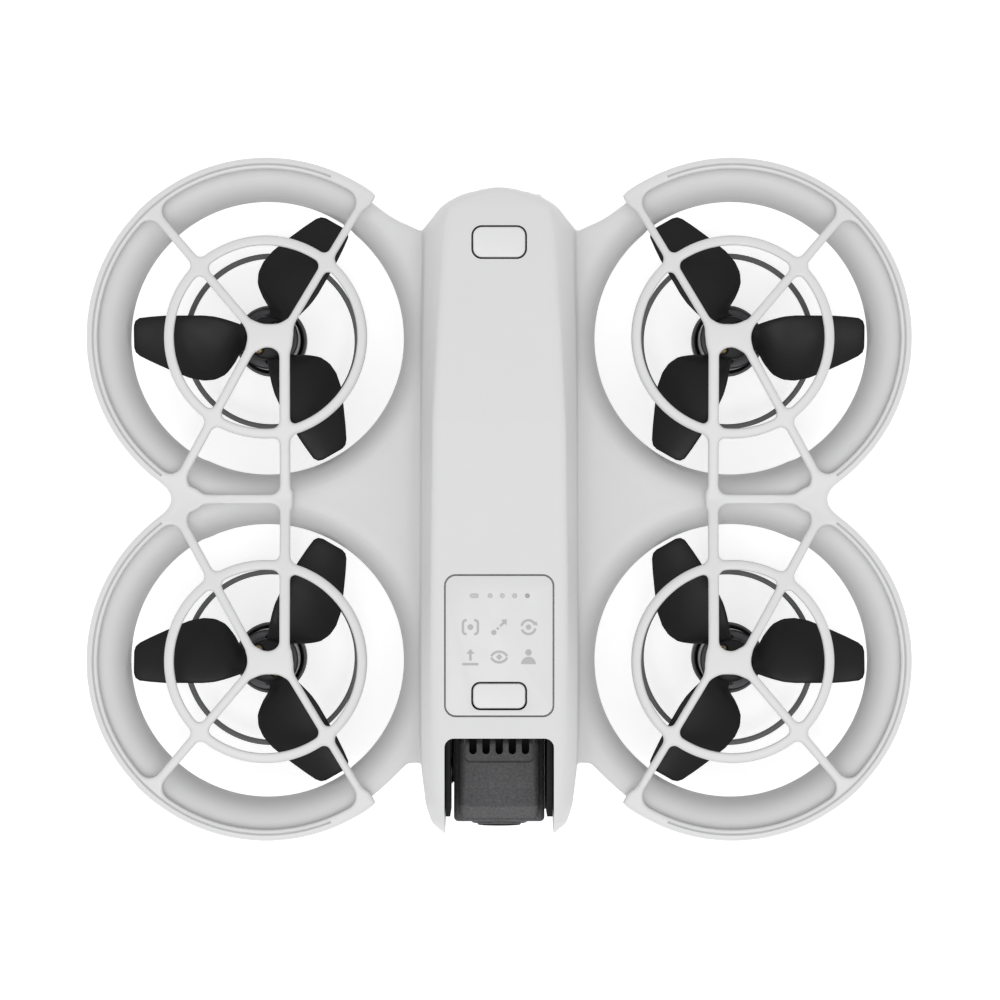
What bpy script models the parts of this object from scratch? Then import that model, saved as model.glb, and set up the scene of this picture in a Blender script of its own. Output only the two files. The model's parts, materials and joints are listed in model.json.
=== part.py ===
"""Palm-size camera drone with four ducted propellers under clip-on guards.

Frame: origin on the ground under the middle of the drone, nose towards -Y, tail towards +Y, +Z up.
Left and right are as seen from above with the tail away from the viewer: left is -X, right is +X.
Lengths below are millimetres.
"""

import math

import bmesh
import bpy
from mathutils import Matrix, Vector

MM = 0.001

# Overall layout
DUCT_X = 44.37
DUCT_Y = 30.82
PARTING_Z = 16.0
PARTING_GAP = 0.3
WALL = 1.3
GAP = 0.3
HOLLOW_Y = (-45.0, 58.0)

# Ducts
THROAT_R = 26.05
THROAT_Z = 21.0
LIP_R = 31.9
LIP_OUTER_R = 32.7
LIP_Z = 33.0
BARREL_R = 27.5
DUCT_WALL = 1.1
BARREL_Z = 7.0
DUCT_STEPS = 20
WEB_Z = (8.0, 31.0)
WEB_SKIN = 1.3

# Screw bosses that hold the two shells together
BOSS_X = 13.4
BOSS_Y = (40.0, -34.0)
BOSS_R = 2.1
BOSS_BORE_R = 0.95
BOSS_SEAT_R = 1.6

# Lower frame that carries the motors
FRAME_LOW = 7.0
FRAME_HIGH = 9.2
ARM_TALL = 1.9
LOWER_RING_R = 16.0
LOWER_RING_WIDTH = 1.3
CUP_R = 6.9
CUP_WALL = 0.6
CUP_TOP = 12.0
CUP_FLOOR = 8.6

# Guards
RIM_OUTER_R = 34.12
RIM_INNER_R = 33.05
RIM_LOW = 28.0
RIM_HIGH = 35.0
RIM_FLANGE_R = 31.7
RIM_FLANGE_LOW = 33.4
GUARD_RING_R = 19.3
GUARD_RING_WIDTH = 1.9
GUARD_RING_Z = (35.7, 37.2)
GUARD_HUB_Z = (37.3, 38.8)
GUARD_RISE = 1.5
WAIST_TOP = 35.7
BAR_X = 40.7
WAIST_X = 59.6
# Plan of the piece that joins the two rims of one side at the waist.
WAIST_PLAN = ((62.3, 1.6), (62.3, -1.6), (58.4, -4.6), (55.2, 0.0), (58.4, 4.6))
HUB_PAD = (7.2, 4.4)
HUB_PAD_SHIFT = (0.9, 0.2)
# Each spoke: angle from +X at the duct centre, sideways offset, width; for the duct at -X, +Y.
SPOKES = (
    (59.3, -2.73, 1.5),
    (130.4, 0.86, 1.7),
    (241.1, -1.31, 1.75),
)
RIM_START_DEG = 52.5
RIM_END_DEG = 244.4

# Propellers and motors
BLADE_COUNT = 3
HUB_R = 4.2
HUB_Z = (26.2, 30.0)
BELL_R = 5.8
BELL_Z = (12.6, 25.8)
BELL_WALL = 0.6
BELL_TOP = 1.2
STATOR_R = 4.7
STATOR_Z = (8.9, 22.6)
SHAFT_R = 0.75
SCREW_OFFSET = 2.7
# Each blade station: distance from the axis, leading edge, trailing edge, height of each edge.
BLADE = (
    (3.4, 1.9, -1.6, 29.4, 27.4),
    (5.0, 2.6, -2.2, 30.2, 27.4),
    (8.0, 3.6, -6.9, 31.2, 27.0),
    (12.2, 4.3, -8.1, 31.2, 27.2),
    (19.3, 4.3, -5.8, 30.7, 28.3),
    (25.3, 3.6, -3.0, 30.1, 28.9),
)
BLADE_THICK = 0.8

# Camera
TILT_Y = -51.8
TILT_Z = 29.0
BAY_HALF = 10.3
BAY_REAR = -44.9
BAY_DEEP = -38.6
HEAD_HALF = 8.5
HEAD_TOP_HALF = 7.2
LENS_R = 4.3
LENS_Z = 27.6
VENT_COUNT = 5
VENT_PITCH = 2.49
VENT_HALF = 0.7
VENT_FRONT = -48.3
GIMBAL_MOTOR_R = 5.4
GIMBAL_PIN_R = 2.6

# Controls
PANEL_HALF = 10.36
PANEL_FRONT = -40.9
PANEL_REAR = -14.05
PANEL_TOP = 48.5
PANEL_THICK = 1.2
BUTTON_HALF = 5.1
BUTTON_FRONT = -39.45
BUTTON_REAR = -34.4
POWER_FRONT = 45.3
POWER_REAR = 51.4
POWER_TOP = 46.75
BUTTON_TALL = 2.6

# Battery
BATTERY_HALF = 11.2
BATTERY_FRONT = -6.0
BATTERY_REAR = 56.0
BATTERY_LOW = 4.0
BATTERY_HIGH = 24.0
BATTERY_WALL = 0.9
END_CAP = 12.0
BUCKLE_Y = (48.0, 55.2)
BUCKLE_Z = (9.0, 19.0)

# Feet
FOOT_HALF = 9.0
FOOT_DEEP = 3.5
FOOT_TALL = 1.2

# Fuselage stations: y, then (half width, height) of panel edge, shoulder, waist, bilge, belly.
STATIONS = (
    (59.0, (3.5, 45.0), (4.5, 41.5), (5.0, 33.0), (5.0, 29.0), (4.5, 26.5)),
    (57.8, (8.8, 45.4), (9.3, 41.0), (9.5, 30.0), (9.5, 27.5), (8.5, 25.5)),
    (56.0, (9.6, 45.9), (11.1, 40.6), (11.7, 27.0), (11.5, 9.0), (9.8, 3.4)),
    (51.9, (9.95, 46.3), (14.6, 40.8), (16.6, 27.0), (16.2, 7.0), (13.0, 1.8)),
    (32.0, (11.25, 47.5), (15.2, 41.4), (16.8, 27.0), (16.3, 6.0), (13.4, 1.5)),
    (14.9, (12.3, 48.5), (15.6, 41.8), (16.9, 27.0), (16.4, 6.0), (13.6, 1.5)),
    (-16.7, (12.7, 48.5), (15.8, 42.0), (16.9, 27.0), (16.4, 6.0), (13.6, 1.5)),
    (-44.0, (12.2, 48.5), (15.8, 42.0), (16.9, 27.0), (16.4, 6.5), (13.6, 2.0)),
    (-50.7, (12.0, 48.3), (15.8, 42.0), (16.6, 27.5), (16.0, 9.0), (13.4, 4.6)),
    (-57.0, (11.8, 47.5), (15.0, 41.5), (15.5, 29.0), (15.1, 15.5), (13.2, 11.0)),
    (-60.4, (11.6, 46.2), (13.9, 40.8), (14.4, 30.5), (14.0, 21.5), (12.8, 17.0)),
    (-62.6, (11.1, 43.8), (11.5, 39.5), (11.6, 32.0), (11.5, 27.5), (11.1, 24.5)),
)

COLOURS = {
    "shell": ((0.80, 0.80, 0.81), 0.45, 0.0),
    "guard": ((0.80, 0.80, 0.80), 0.42, 0.0),
    "propeller": ((0.018, 0.018, 0.020), 0.38, 0.0),
    "motor": ((0.05, 0.05, 0.055), 0.35, 0.9),
    "steel": ((0.60, 0.60, 0.62), 0.30, 1.0),
    "copper": ((0.55, 0.26, 0.12), 0.40, 1.0),
    "brass": ((0.60, 0.45, 0.22), 0.30, 1.0),
    "camera": ((0.085, 0.085, 0.088), 0.55, 0.0),
    "black": ((0.015, 0.015, 0.016), 0.50, 0.0),
    "glass": ((0.02, 0.02, 0.03), 0.05, 0.0),
    "board": ((0.02, 0.10, 0.05), 0.50, 0.0),
    "battery": ((0.62, 0.62, 0.63), 0.45, 0.0),
    "cell": ((0.30, 0.30, 0.32), 0.40, 0.3),
    "rubber": ((0.10, 0.10, 0.10), 0.80, 0.0),
    "light": ((0.90, 0.90, 0.85), 0.25, 0.0),
}


def clear_scene():
    for obj in list(bpy.data.objects):
        bpy.data.objects.remove(obj, do_unlink=True)


def make_collection(name):
    group = bpy.data.collections.new(name)
    bpy.context.scene.collection.children.link(group)
    return group


def make_material(name, colour, roughness, metallic):
    material = bpy.data.materials.new(name)
    material.use_nodes = True
    shader = material.node_tree.nodes["Principled BSDF"]
    shader.inputs["Base Color"].default_value = (*colour, 1.0)
    shader.inputs["Roughness"].default_value = roughness
    shader.inputs["Metallic"].default_value = metallic
    return material


# ---------------------------------------------------------------- building blocks


def finish(name, mesh, look=None, at=(0, 0, 0), turn=0.0):
    """A visible part when look names a colour, otherwise a helper for Booleans."""
    obj = bpy.data.objects.new(name, mesh)
    obj.location = Vector(at) * MM
    obj.rotation_euler = (0, 0, turn)
    if look is None:
        CUTTERS.objects.link(obj)
        obj.hide_render = True
        obj.display_type = "WIRE"
    else:
        PARTS.objects.link(obj)
        mesh.materials.append(make_material(name, *COLOURS[look]))
    return obj


def mesh_from(bm, name, smooth_angle=None):
    mesh = bpy.data.meshes.new(name)
    bm.normal_update()
    bm.to_mesh(mesh)
    bm.free()
    if smooth_angle is not None:
        mesh.shade_smooth()
        mesh.set_sharp_from_angle(angle=math.radians(smooth_angle))
    return mesh


def box(name, low, high, look=None, bevel=0.0):
    bm = bmesh.new()
    bmesh.ops.create_cube(bm, size=1.0)
    size = Vector(high) - Vector(low)
    middle = (Vector(high) + Vector(low)) / 2
    place = Matrix.Translation(middle * MM) @ Matrix.Diagonal((*(size * MM), 1.0))
    bmesh.ops.transform(bm, matrix=place, verts=bm.verts)
    obj = finish(name, mesh_from(bm, name), look)
    if bevel:
        add_bevel(obj, bevel)
    return obj


def add_bevel(obj, width):
    modifier = obj.modifiers.new("rounded edges", "BEVEL")
    modifier.width = width * MM
    modifier.segments = 1
    modifier.limit_method = "ANGLE"
    modifier.angle_limit = math.radians(40)


def rod(name, start, end, radius, look=None, sides=16, origin=(0, 0, 0)):
    """A cylinder between two points."""
    bm = bmesh.new()
    begin = Vector(start) - Vector(origin)
    along = Vector(end) - Vector(start)
    size = {"radius1": radius * MM, "radius2": radius * MM, "depth": along.length * MM}
    bmesh.ops.create_cone(bm, cap_ends=True, segments=sides, **size)
    turn = Vector((0, 0, 1)).rotation_difference(along.normalized()).to_matrix().to_4x4()
    place = Matrix.Translation((begin + along / 2) * MM) @ turn
    bmesh.ops.transform(bm, matrix=place, verts=bm.verts)
    return finish(name, mesh_from(bm, name, 35), look, origin)


def turned(name, profile, centre, look=None, steps=DUCT_STEPS, turn=0.0):
    """A closed (radius, height) profile, running down its outer side, turned about +Z."""
    bm = bmesh.new()
    verts = [bm.verts.new((r * MM, 0, z * MM)) for r, z in profile]
    for first, second in zip(verts, verts[1:] + verts[:1]):
        if first.co.x > 0 or second.co.x > 0:
            bm.edges.new((first, second))
    obj = finish(name, mesh_from(bm, name), look, centre, math.radians(turn))
    modifier = obj.modifiers.new("turn", "SCREW")
    modifier.steps = steps
    modifier.render_steps = steps
    modifier.use_merge_vertices = True
    modifier.merge_threshold = 1e-6
    return obj


def arc_sweep(name, profile, centre, start, end, steps):
    """The same kind of profile turned through part of a circle, between two angles."""
    sections = []
    for step in range(steps + 1):
        turn = math.radians(start + (end - start) * step / steps)
        ring = [(r * math.cos(turn) + centre[0], r * math.sin(turn) + centre[1], z) for r, z in profile]
        sections.append(ring)
    return loft(name, sections)


def rounded(corners, radius, steps=3):
    """The outline through the corners with each one turned into an arc."""
    outline = []
    count = len(corners)
    for i, corner in enumerate(corners):
        here = Vector(corner)
        back = (Vector(corners[i - 1]) - here).normalized()
        ahead = (Vector(corners[(i + 1) % count]) - here).normalized()
        half = back.angle(ahead) / 2
        reach = radius / math.tan(half)
        middle = here + (back + ahead).normalized() * radius / math.sin(half)
        first = here + back * reach - middle
        last = here + ahead * reach - middle
        whole = first.angle_signed(last)
        for step in range(steps + 1):
            turn = Matrix.Rotation(-whole * step / steps, 2)
            outline.append(tuple(middle + turn @ first))
    return outline


def rectangle(x_low, y_low, x_high, y_high):
    return [(x_low, y_low), (x_high, y_low), (x_high, y_high), (x_low, y_high)]


def plate(name, outline, low, high, look=None):
    """A flat outline given a thickness, as a closed mesh."""
    curve = bpy.data.curves.new(name, "CURVE")
    curve.dimensions = "2D"
    curve.fill_mode = "BOTH"
    curve.extrude = (high - low) / 2 * MM
    spline = curve.splines.new("POLY")
    spline.points.add(len(outline) - 1)
    for point, (x, y) in zip(spline.points, outline):
        point.co = (x * MM, y * MM, 0, 1)
    spline.use_cyclic_u = True
    guide = bpy.data.objects.new(name + "_outline", curve)
    CUTTERS.objects.link(guide)
    bpy.context.view_layer.update()
    graph = bpy.context.evaluated_depsgraph_get()
    mesh = bpy.data.meshes.new_from_object(guide.evaluated_get(graph))
    bpy.data.objects.remove(guide, do_unlink=True)
    bm = bmesh.new()
    bm.from_mesh(mesh)
    bmesh.ops.remove_doubles(bm, verts=bm.verts, dist=1e-7)
    lift = (high + low) / 2 * MM
    bmesh.ops.translate(bm, verts=bm.verts, vec=(0, 0, lift))
    bmesh.ops.recalc_face_normals(bm, faces=bm.faces)
    bm.to_mesh(mesh)
    bm.free()
    mesh.name = name
    return finish(name, mesh, look)


def loft(name, sections):
    """A skin through closed sections of equally many points, capped at both ends."""
    bm = bmesh.new()
    rings = [[bm.verts.new(Vector(p) * MM) for p in section] for section in sections]
    for lower, upper in zip(rings, rings[1:]):
        count = len(lower)
        for i in range(count):
            j = (i + 1) % count
            bm.faces.new((lower[i], lower[j], upper[j], upper[i]))
    bm.faces.new(rings[0][::-1])
    bm.faces.new(rings[-1])
    bmesh.ops.recalc_face_normals(bm, faces=bm.faces)
    return finish(name, mesh_from(bm, name))


def beam(name, path, width, tall):
    """A bar of rectangular section along a path that is straight in plan; the path is its top."""
    along = Vector(path[-1]) - Vector(path[0])
    side = Vector((-along.y, along.x, 0)).normalized() * width / 2
    down = Vector((0, 0, -tall))
    sections = []
    for point in map(Vector, path):
        sections.append([point + side, point - side, point - side + down, point + side + down])
    return loft(name, sections)


def combine(target, operand, operation):
    """Boolean. Where the duct rings cross each other EXACT leaves gaps, so shells use MANIFOLD."""
    modifier = target.modifiers.new(operand.name, "BOOLEAN")
    modifier.operation = operation
    modifier.object = operand
    modifier.solver = "MANIFOLD" if target.name.endswith("_body") else "EXACT"


def join(target, *operands):
    for operand in operands:
        combine(target, operand, "UNION")


def cut(target, *operands):
    for operand in operands:
        combine(target, operand, "DIFFERENCE")


def corners_of_drone():
    """Name, side (-1 left, +1 right) and end (+1 rear, -1 front) of each duct."""
    for end, end_name in ((1, "rear"), (-1, "front")):
        for side, side_name in ((-1, "left"), (1, "right")):
            yield f"{end_name}_{side_name}", side, end


def along_spoke(side, end, angle, offset, distance):
    """A point of a spoke line, mirrored from the rear left duct to the one asked for."""
    turn = math.radians(angle)
    x = distance * math.cos(turn) - offset * math.sin(turn)
    y = distance * math.sin(turn) + offset * math.cos(turn)
    return side * (DUCT_X - x), end * (DUCT_Y + y)


# ---------------------------------------------------------------- shells


def fuselage(name, inset=0.0, y_limits=(-99.0, 99.0)):
    """The fuselage's skin, or the same skin moved inwards for its hollow."""
    sections = []
    for y, *half in STATIONS:
        if not y_limits[0] <= y <= y_limits[1]:
            continue
        shrink = [(max(x - inset, 1.0), z) for x, z in half]
        shrink[0] = (shrink[0][0], shrink[0][1] - inset)
        shrink[1] = (shrink[1][0], shrink[1][1] - inset * 0.4)
        shrink[3] = (shrink[3][0], shrink[3][1] + inset * 0.4)
        shrink[4] = (shrink[4][0], shrink[4][1] + inset)
        right = [(x, y, z) for x, z in shrink]
        left = [(-x, y, z) for x, z in reversed(shrink)]
        sections.append(right + left)
    return loft(name, sections)


def web_outline(inset=0.0):
    """Plan of both webs, which run from duct to duct through the fuselage."""
    rear = [(14.0, 50.7), (24.6, 55.6), (DUCT_X, DUCT_Y), (57.6, 4.5)]
    front = [(57.6, -4.5), (DUCT_X, -DUCT_Y), (23.2, -54.6), (14.0, -48.4)]
    right = [(x - inset, y - math.copysign(inset, y)) for x, y in rear + front]
    return right + [(-x, y) for x, y in reversed(right)]


def bell_curve(outwards=0.0, steps=4):
    """Quarter ellipse of the bellmouth from lip to throat, as (radius, height) points."""
    curve = []
    for step in range(steps + 1):
        turn = math.pi / 2 * (1 - step / steps)
        radius = THROAT_R + outwards + (LIP_R - THROAT_R) * (1 - math.cos(turn))
        height = THROAT_Z + (LIP_Z - THROAT_Z) * math.sin(turn)
        curve.append((radius, height))
    return curve


def duct_blank():
    """A duct's ring before its air passage is cut: down the outer side, then straight inside."""
    inside = THROAT_R - 2.0
    rolled = [(LIP_OUTER_R, LIP_Z), (LIP_OUTER_R, LIP_Z - 1.6)]
    outer = bell_curve(DUCT_WALL, 2)[1:] + [(BARREL_R + DUCT_WALL, BARREL_Z)]
    return rolled + outer + [(inside, BARREL_Z), (inside, LIP_Z)]


def passage_profile():
    """The air passage: bellmouth into the throat, then a barrel that widens downwards."""
    top, bottom = LIP_Z + 4.0, BARREL_Z - 4.0
    outer = [(LIP_R, top)] + bell_curve() + [(BARREL_R, BARREL_Z), (BARREL_R, bottom)]
    return outer + [(0.0, bottom), (0.0, top)]


def hollow_body(name):
    """Webs and duct rings with their air passages, then the hollow fuselage between them."""
    low, high = WEB_Z
    body = plate(name, web_outline(), low, high)
    cut(body, plate(f"{name}_web_room", web_outline(1.6), low + WEB_SKIN, high - WEB_SKIN))
    for corner, side, end in corners_of_drone():
        centre = (side * DUCT_X, end * DUCT_Y, 0)
        join(body, turned(f"{name}_duct_{corner}", duct_blank(), centre, turn=3.0 * end))
    for corner, side, end in corners_of_drone():
        centre = (side * DUCT_X, end * DUCT_Y, 0)
        cut(body, turned(f"{name}_passage_{corner}", passage_profile(), centre, turn=1.0 * end))
    join(body, fuselage(f"{name}_fuselage"))
    cut(body, fuselage(f"{name}_hollow", WALL, HOLLOW_Y))
    return body


def show(obj, name, look):
    """Turns a helper into a visible part."""
    CUTTERS.objects.unlink(obj)
    PARTS.objects.link(obj)
    obj.name = name
    obj.hide_render = False
    obj.display_type = "TEXTURED"
    obj.data.materials.append(make_material(name, *COLOURS[look]))
    return obj


def camera_bay():
    """Room for the camera: open above, ahead and below, and deeper under the top lip."""
    mouth = rounded(rectangle(-BAY_HALF, -70, BAY_HALF, BAY_REAR), 1.8)
    top = plate("bay_mouth", mouth, 40.0, 60.0)
    deep = box("bay_depth", (-BAY_HALF, -70, 14.0), (BAY_HALF, BAY_DEEP, 44.6))
    return top, deep


def boss_places():
    return [(side * BOSS_X, y) for y in BOSS_Y for side in (-1, 1)]


def upper_shell():
    shell = hollow_body("upper_body")
    for index, (x, y) in enumerate(boss_places()):
        join(shell, rod(f"upper_boss_{index}", (x, y, 15), (x, y, 30.4), BOSS_R, sides=8))
        cut(shell, rod(f"upper_thread_{index}", (x, y, 14), (x, y, 23), BOSS_BORE_R, sides=8))
    low = PARTING_Z + PARTING_GAP / 2
    cut(shell, box("below_parting", (-90, -80, -10), (90, 80, low)))
    cut(shell, battery_bay("upper_battery_bay"))
    for side in (-1, 1):
        cut(shell, buckle_notch(f"upper_buckle_notch_{side}", side))
    cut(shell, *camera_bay())
    panel = rounded(rectangle(-PANEL_HALF, PANEL_FRONT, PANEL_HALF, PANEL_REAR), 2.2)
    cut(shell, plate("panel_pocket", panel, PANEL_TOP - PANEL_THICK - GAP, 60))
    button = rectangle(-BUTTON_HALF - 0.4, BUTTON_FRONT - 0.4, BUTTON_HALF + 0.4, BUTTON_REAR + 0.4)
    cut(shell, plate("button_well", rounded(button, 1.9), 40, 60))
    power = rectangle(-BUTTON_HALF - 0.3, POWER_FRONT - 0.3, BUTTON_HALF + 0.3, POWER_REAR + 0.3)
    cut(shell, plate("power_well", rounded(power, 2.1), 40, 60))
    cut(shell, box("light_slot", (-6.2, -19.2, 40), (6.2, -17.0, 60)))
    cut(shell, box("usb_hole", (-4.9, 50, 28.6), (4.9, 62, 32.6)))
    cut(shell, rod("lamp_hole", (7.2, 52, 31), (7.2, 62, 31), 1.2, sides=8))
    return show(shell, "upper_shell", "shell")


def battery_bay(name):
    """Slot that the battery slides into from the tail, with a notch beside each buckle."""
    wide = BATTERY_HALF + GAP
    return box(name, (-wide, BATTERY_FRONT - 4, BATTERY_LOW - GAP), (wide, 70, BATTERY_HIGH + GAP))


def buckle_notch(name, side):
    x = sorted((side * 10.0, side * 20.0))
    low = (x[0], BUCKLE_Y[0] - 1.0, BUCKLE_Z[0] - 1.0)
    return box(name, low, (x[1], 64.0, BUCKLE_Z[1] + 1.0))


def lower_spoke(corner, side, end, index):
    """A motor arm: under its guard spoke, from the motor cup to the duct wall."""
    angle, offset, _ = SPOKES[index]
    inner = along_spoke(side, end, angle, offset * 0.5, 5.6)
    outer = along_spoke(side, end, angle, offset, BARREL_R + 0.4)
    name = f"arm_{corner}_{index}"
    top = FRAME_HIGH - 0.15
    return beam(name, ((*inner, top), (*outer, top)), 1.3, ARM_TALL)


def lower_shell():
    shell = hollow_body("lower_body")
    for corner, side, end in corners_of_drone():
        centre = (side * DUCT_X, end * DUCT_Y, 0)
        inner = LOWER_RING_R
        outer = inner + LOWER_RING_WIDTH
        ring = [(outer, FRAME_HIGH), (outer, FRAME_LOW), (inner, FRAME_LOW), (inner, FRAME_HIGH)]
        join(shell, turned(f"lower_ring_{corner}", ring, centre, steps=16))
        cup_in = CUP_R - CUP_WALL
        cup = [
            (CUP_R, CUP_TOP),
            (CUP_R, FRAME_LOW),
            (0.0, FRAME_LOW),
            (0.0, CUP_FLOOR),
            (cup_in, CUP_FLOOR),
            (cup_in, CUP_TOP),
        ]
        join(shell, *(lower_spoke(corner, side, end, index) for index in range(3)))
        top = FRAME_HIGH - 0.2
        path = ((side * BAR_X, end * (DUCT_Y - 5.4), top), (side * BAR_X, end * 3.6, top))
        join(shell, beam(f"arm_{corner}_inboard", path, 1.3, ARM_TALL))
        join(shell, turned(f"cup_{corner}", cup, centre, steps=12))
        x, y, _ = centre
        cut(shell, rod(f"cup_room_{corner}", (x, y, CUP_FLOOR), (x, y, 30), cup_in - 0.02, sides=12))
    for index, (x, y) in enumerate(boss_places()):
        join(shell, rod(f"lower_boss_{index}", (x, y, 1.8), (x, y, 17), BOSS_R, sides=8))
        cut(shell, rod(f"screw_way_{index}", (x, y, 0), (x, y, 18), BOSS_BORE_R, sides=8))
        cut(shell, rod(f"screw_seat_{index}", (x, y, 0), (x, y, 3.6), BOSS_SEAT_R, sides=8))
    high = PARTING_Z - PARTING_GAP / 2
    cut(shell, box("above_parting", (-90, -80, high), (90, 80, 70)))
    cut(shell, battery_bay("lower_battery_bay"))
    for side in (-1, 1):
        cut(shell, buckle_notch(f"lower_buckle_notch_{side}", side))
    cut(shell, box("chin", (-BAY_HALF, -70, -5), (BAY_HALF, -46.0, 40)))
    cut(shell, rod("ground_camera_hole", (0, -24, -1), (0, -24, 8), 3.3, sides=12))
    cut(shell, box("infrared_hole", (-4.3, -38.3, -1), (4.3, -33.7, 8)))
    return show(shell, "lower_shell", "shell")


def screws():
    for index, (x, y) in enumerate(boss_places()):
        name = f"shell_screw_{index + 1}"
        screw = rod(name, (x, y, 2.0), (x, y, 3.3), 1.3, "steel", sides=8, origin=(x, y, 0))
        join(screw, rod(f"{name}_shank", (x, y, 3.0), (x, y, 22.0), 0.6, sides=6))


# ---------------------------------------------------------------- guards


def guard_spoke(name, side, end, angle, offset, width):
    """A spoke from the hub over the ring to the rim, following the guard's dome."""
    hub = along_spoke(side, end, angle, offset, 0.0)
    ring = along_spoke(side, end, angle, offset, GUARD_RING_R - 1.0)
    rim = along_spoke(side, end, angle, offset, RIM_FLANGE_R + 1.2)
    path = ((*hub, GUARD_HUB_Z[1] - 0.15), (*ring, GUARD_RING_Z[1] + 0.1), (*rim, RIM_HIGH - 0.1))
    return beam(name, path, width, GUARD_RISE)


def guard_rim(name, side, end):
    """The rim's curved wall and its flange over the duct's lip, round the outer side only."""
    profile = [
        (RIM_OUTER_R - 0.7, RIM_HIGH),
        (RIM_OUTER_R, RIM_HIGH - 0.7),
        (RIM_OUTER_R, RIM_LOW),
        (RIM_INNER_R, RIM_LOW),
        (RIM_INNER_R, RIM_FLANGE_LOW),
        (RIM_FLANGE_R, RIM_FLANGE_LOW),
        (RIM_FLANGE_R, RIM_HIGH),
    ]
    first, last = RIM_START_DEG, RIM_END_DEG
    if side > 0:
        first, last = 180 - last, 180 - first
    if end < 0:
        first, last = -last, -first
    return arc_sweep(name, profile, (side * DUCT_X, end * DUCT_Y), first, last, 14)


def guard(side, side_name):
    """Both rims of one side, the waist between them, and a hub, ring and spokes for each duct."""
    name = f"{side_name}_guard"
    whole = guard_rim(f"{name}_rim_rear", side, 1)
    join(whole, guard_rim(f"{name}_rim_front", side, -1))
    waist = [(side * x, y) for x, y in WAIST_PLAN]
    join(whole, plate(f"{name}_waist", waist, RIM_FLANGE_LOW + 0.1, RIM_HIGH - 0.05))
    hub_y = DUCT_Y + 1.0
    ring_y = DUCT_Y - GUARD_RING_R + 1.0
    heights = ((hub_y, GUARD_HUB_Z[1] - 0.1), (ring_y, GUARD_RING_Z[1] + 0.14), (0.0, WAIST_TOP))
    half = [(side * BAR_X, y, z) for y, z in heights]
    bar = half + [(x, -y, z) for x, y, z in reversed(half[:-1])]
    join(whole, beam(f"{name}_long_bar", bar, 2.0, GUARD_RISE))
    path = ((side * (BAR_X - 0.4), 0, WAIST_TOP - 0.1), (side * WAIST_X, 0, RIM_HIGH + 0.2))
    join(whole, beam(f"{name}_waist_bar", path, 1.85, GUARD_RISE))
    for end, end_name in ((1, "rear"), (-1, "front")):
        spot = f"{name}_{end_name}"
        low, high = GUARD_RING_Z
        outer = GUARD_RING_R
        inner = outer - GUARD_RING_WIDTH
        ring = [(outer, high), (outer, low), (inner, low), (inner, high)]
        centre = (side * DUCT_X, end * DUCT_Y, 0)
        join(whole, turned(f"{spot}_ring", ring, centre, steps=18))
        for index, (angle, offset, width) in enumerate(SPOKES):
            join(whole, guard_spoke(f"{spot}_spoke_{index}", side, end, angle, offset, width))
        pad_x = side * (DUCT_X - HUB_PAD_SHIFT[0])
        pad_y = end * (DUCT_Y + HUB_PAD_SHIFT[1])
        half_x, half_y = HUB_PAD[0] / 2, HUB_PAD[1] / 2
        pad = rectangle(pad_x - half_x, pad_y - half_y, pad_x + half_x, pad_y + half_y)
        join(whole, plate(f"{spot}_hub", rounded(pad, 1.2), *GUARD_HUB_Z))
    return show(whole, name, "guard")


# ---------------------------------------------------------------- propulsion


def blade(name, hand, angle, origin):
    """One twisted blade; hand is +1 where the leading edge is on the clockwise side."""
    turn = Matrix.Rotation(math.radians(angle), 3, "Z")
    sections = []
    for reach, lead, trail, high, low in BLADE:
        ring = []
        for across, z in ((lead, high), (trail, low)):
            ring.append(turn @ Vector((reach, -hand * across, z)))
        section = [ring[0], ring[1], ring[1] - Vector((0, 0, BLADE_THICK)), ring[0] - Vector((0, 0, BLADE_THICK))]
        sections.append([p - Vector((0, 0, origin[2])) for p in section])
    helper = loft(name, sections)
    helper.location = Vector(origin) * MM
    return helper


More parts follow.
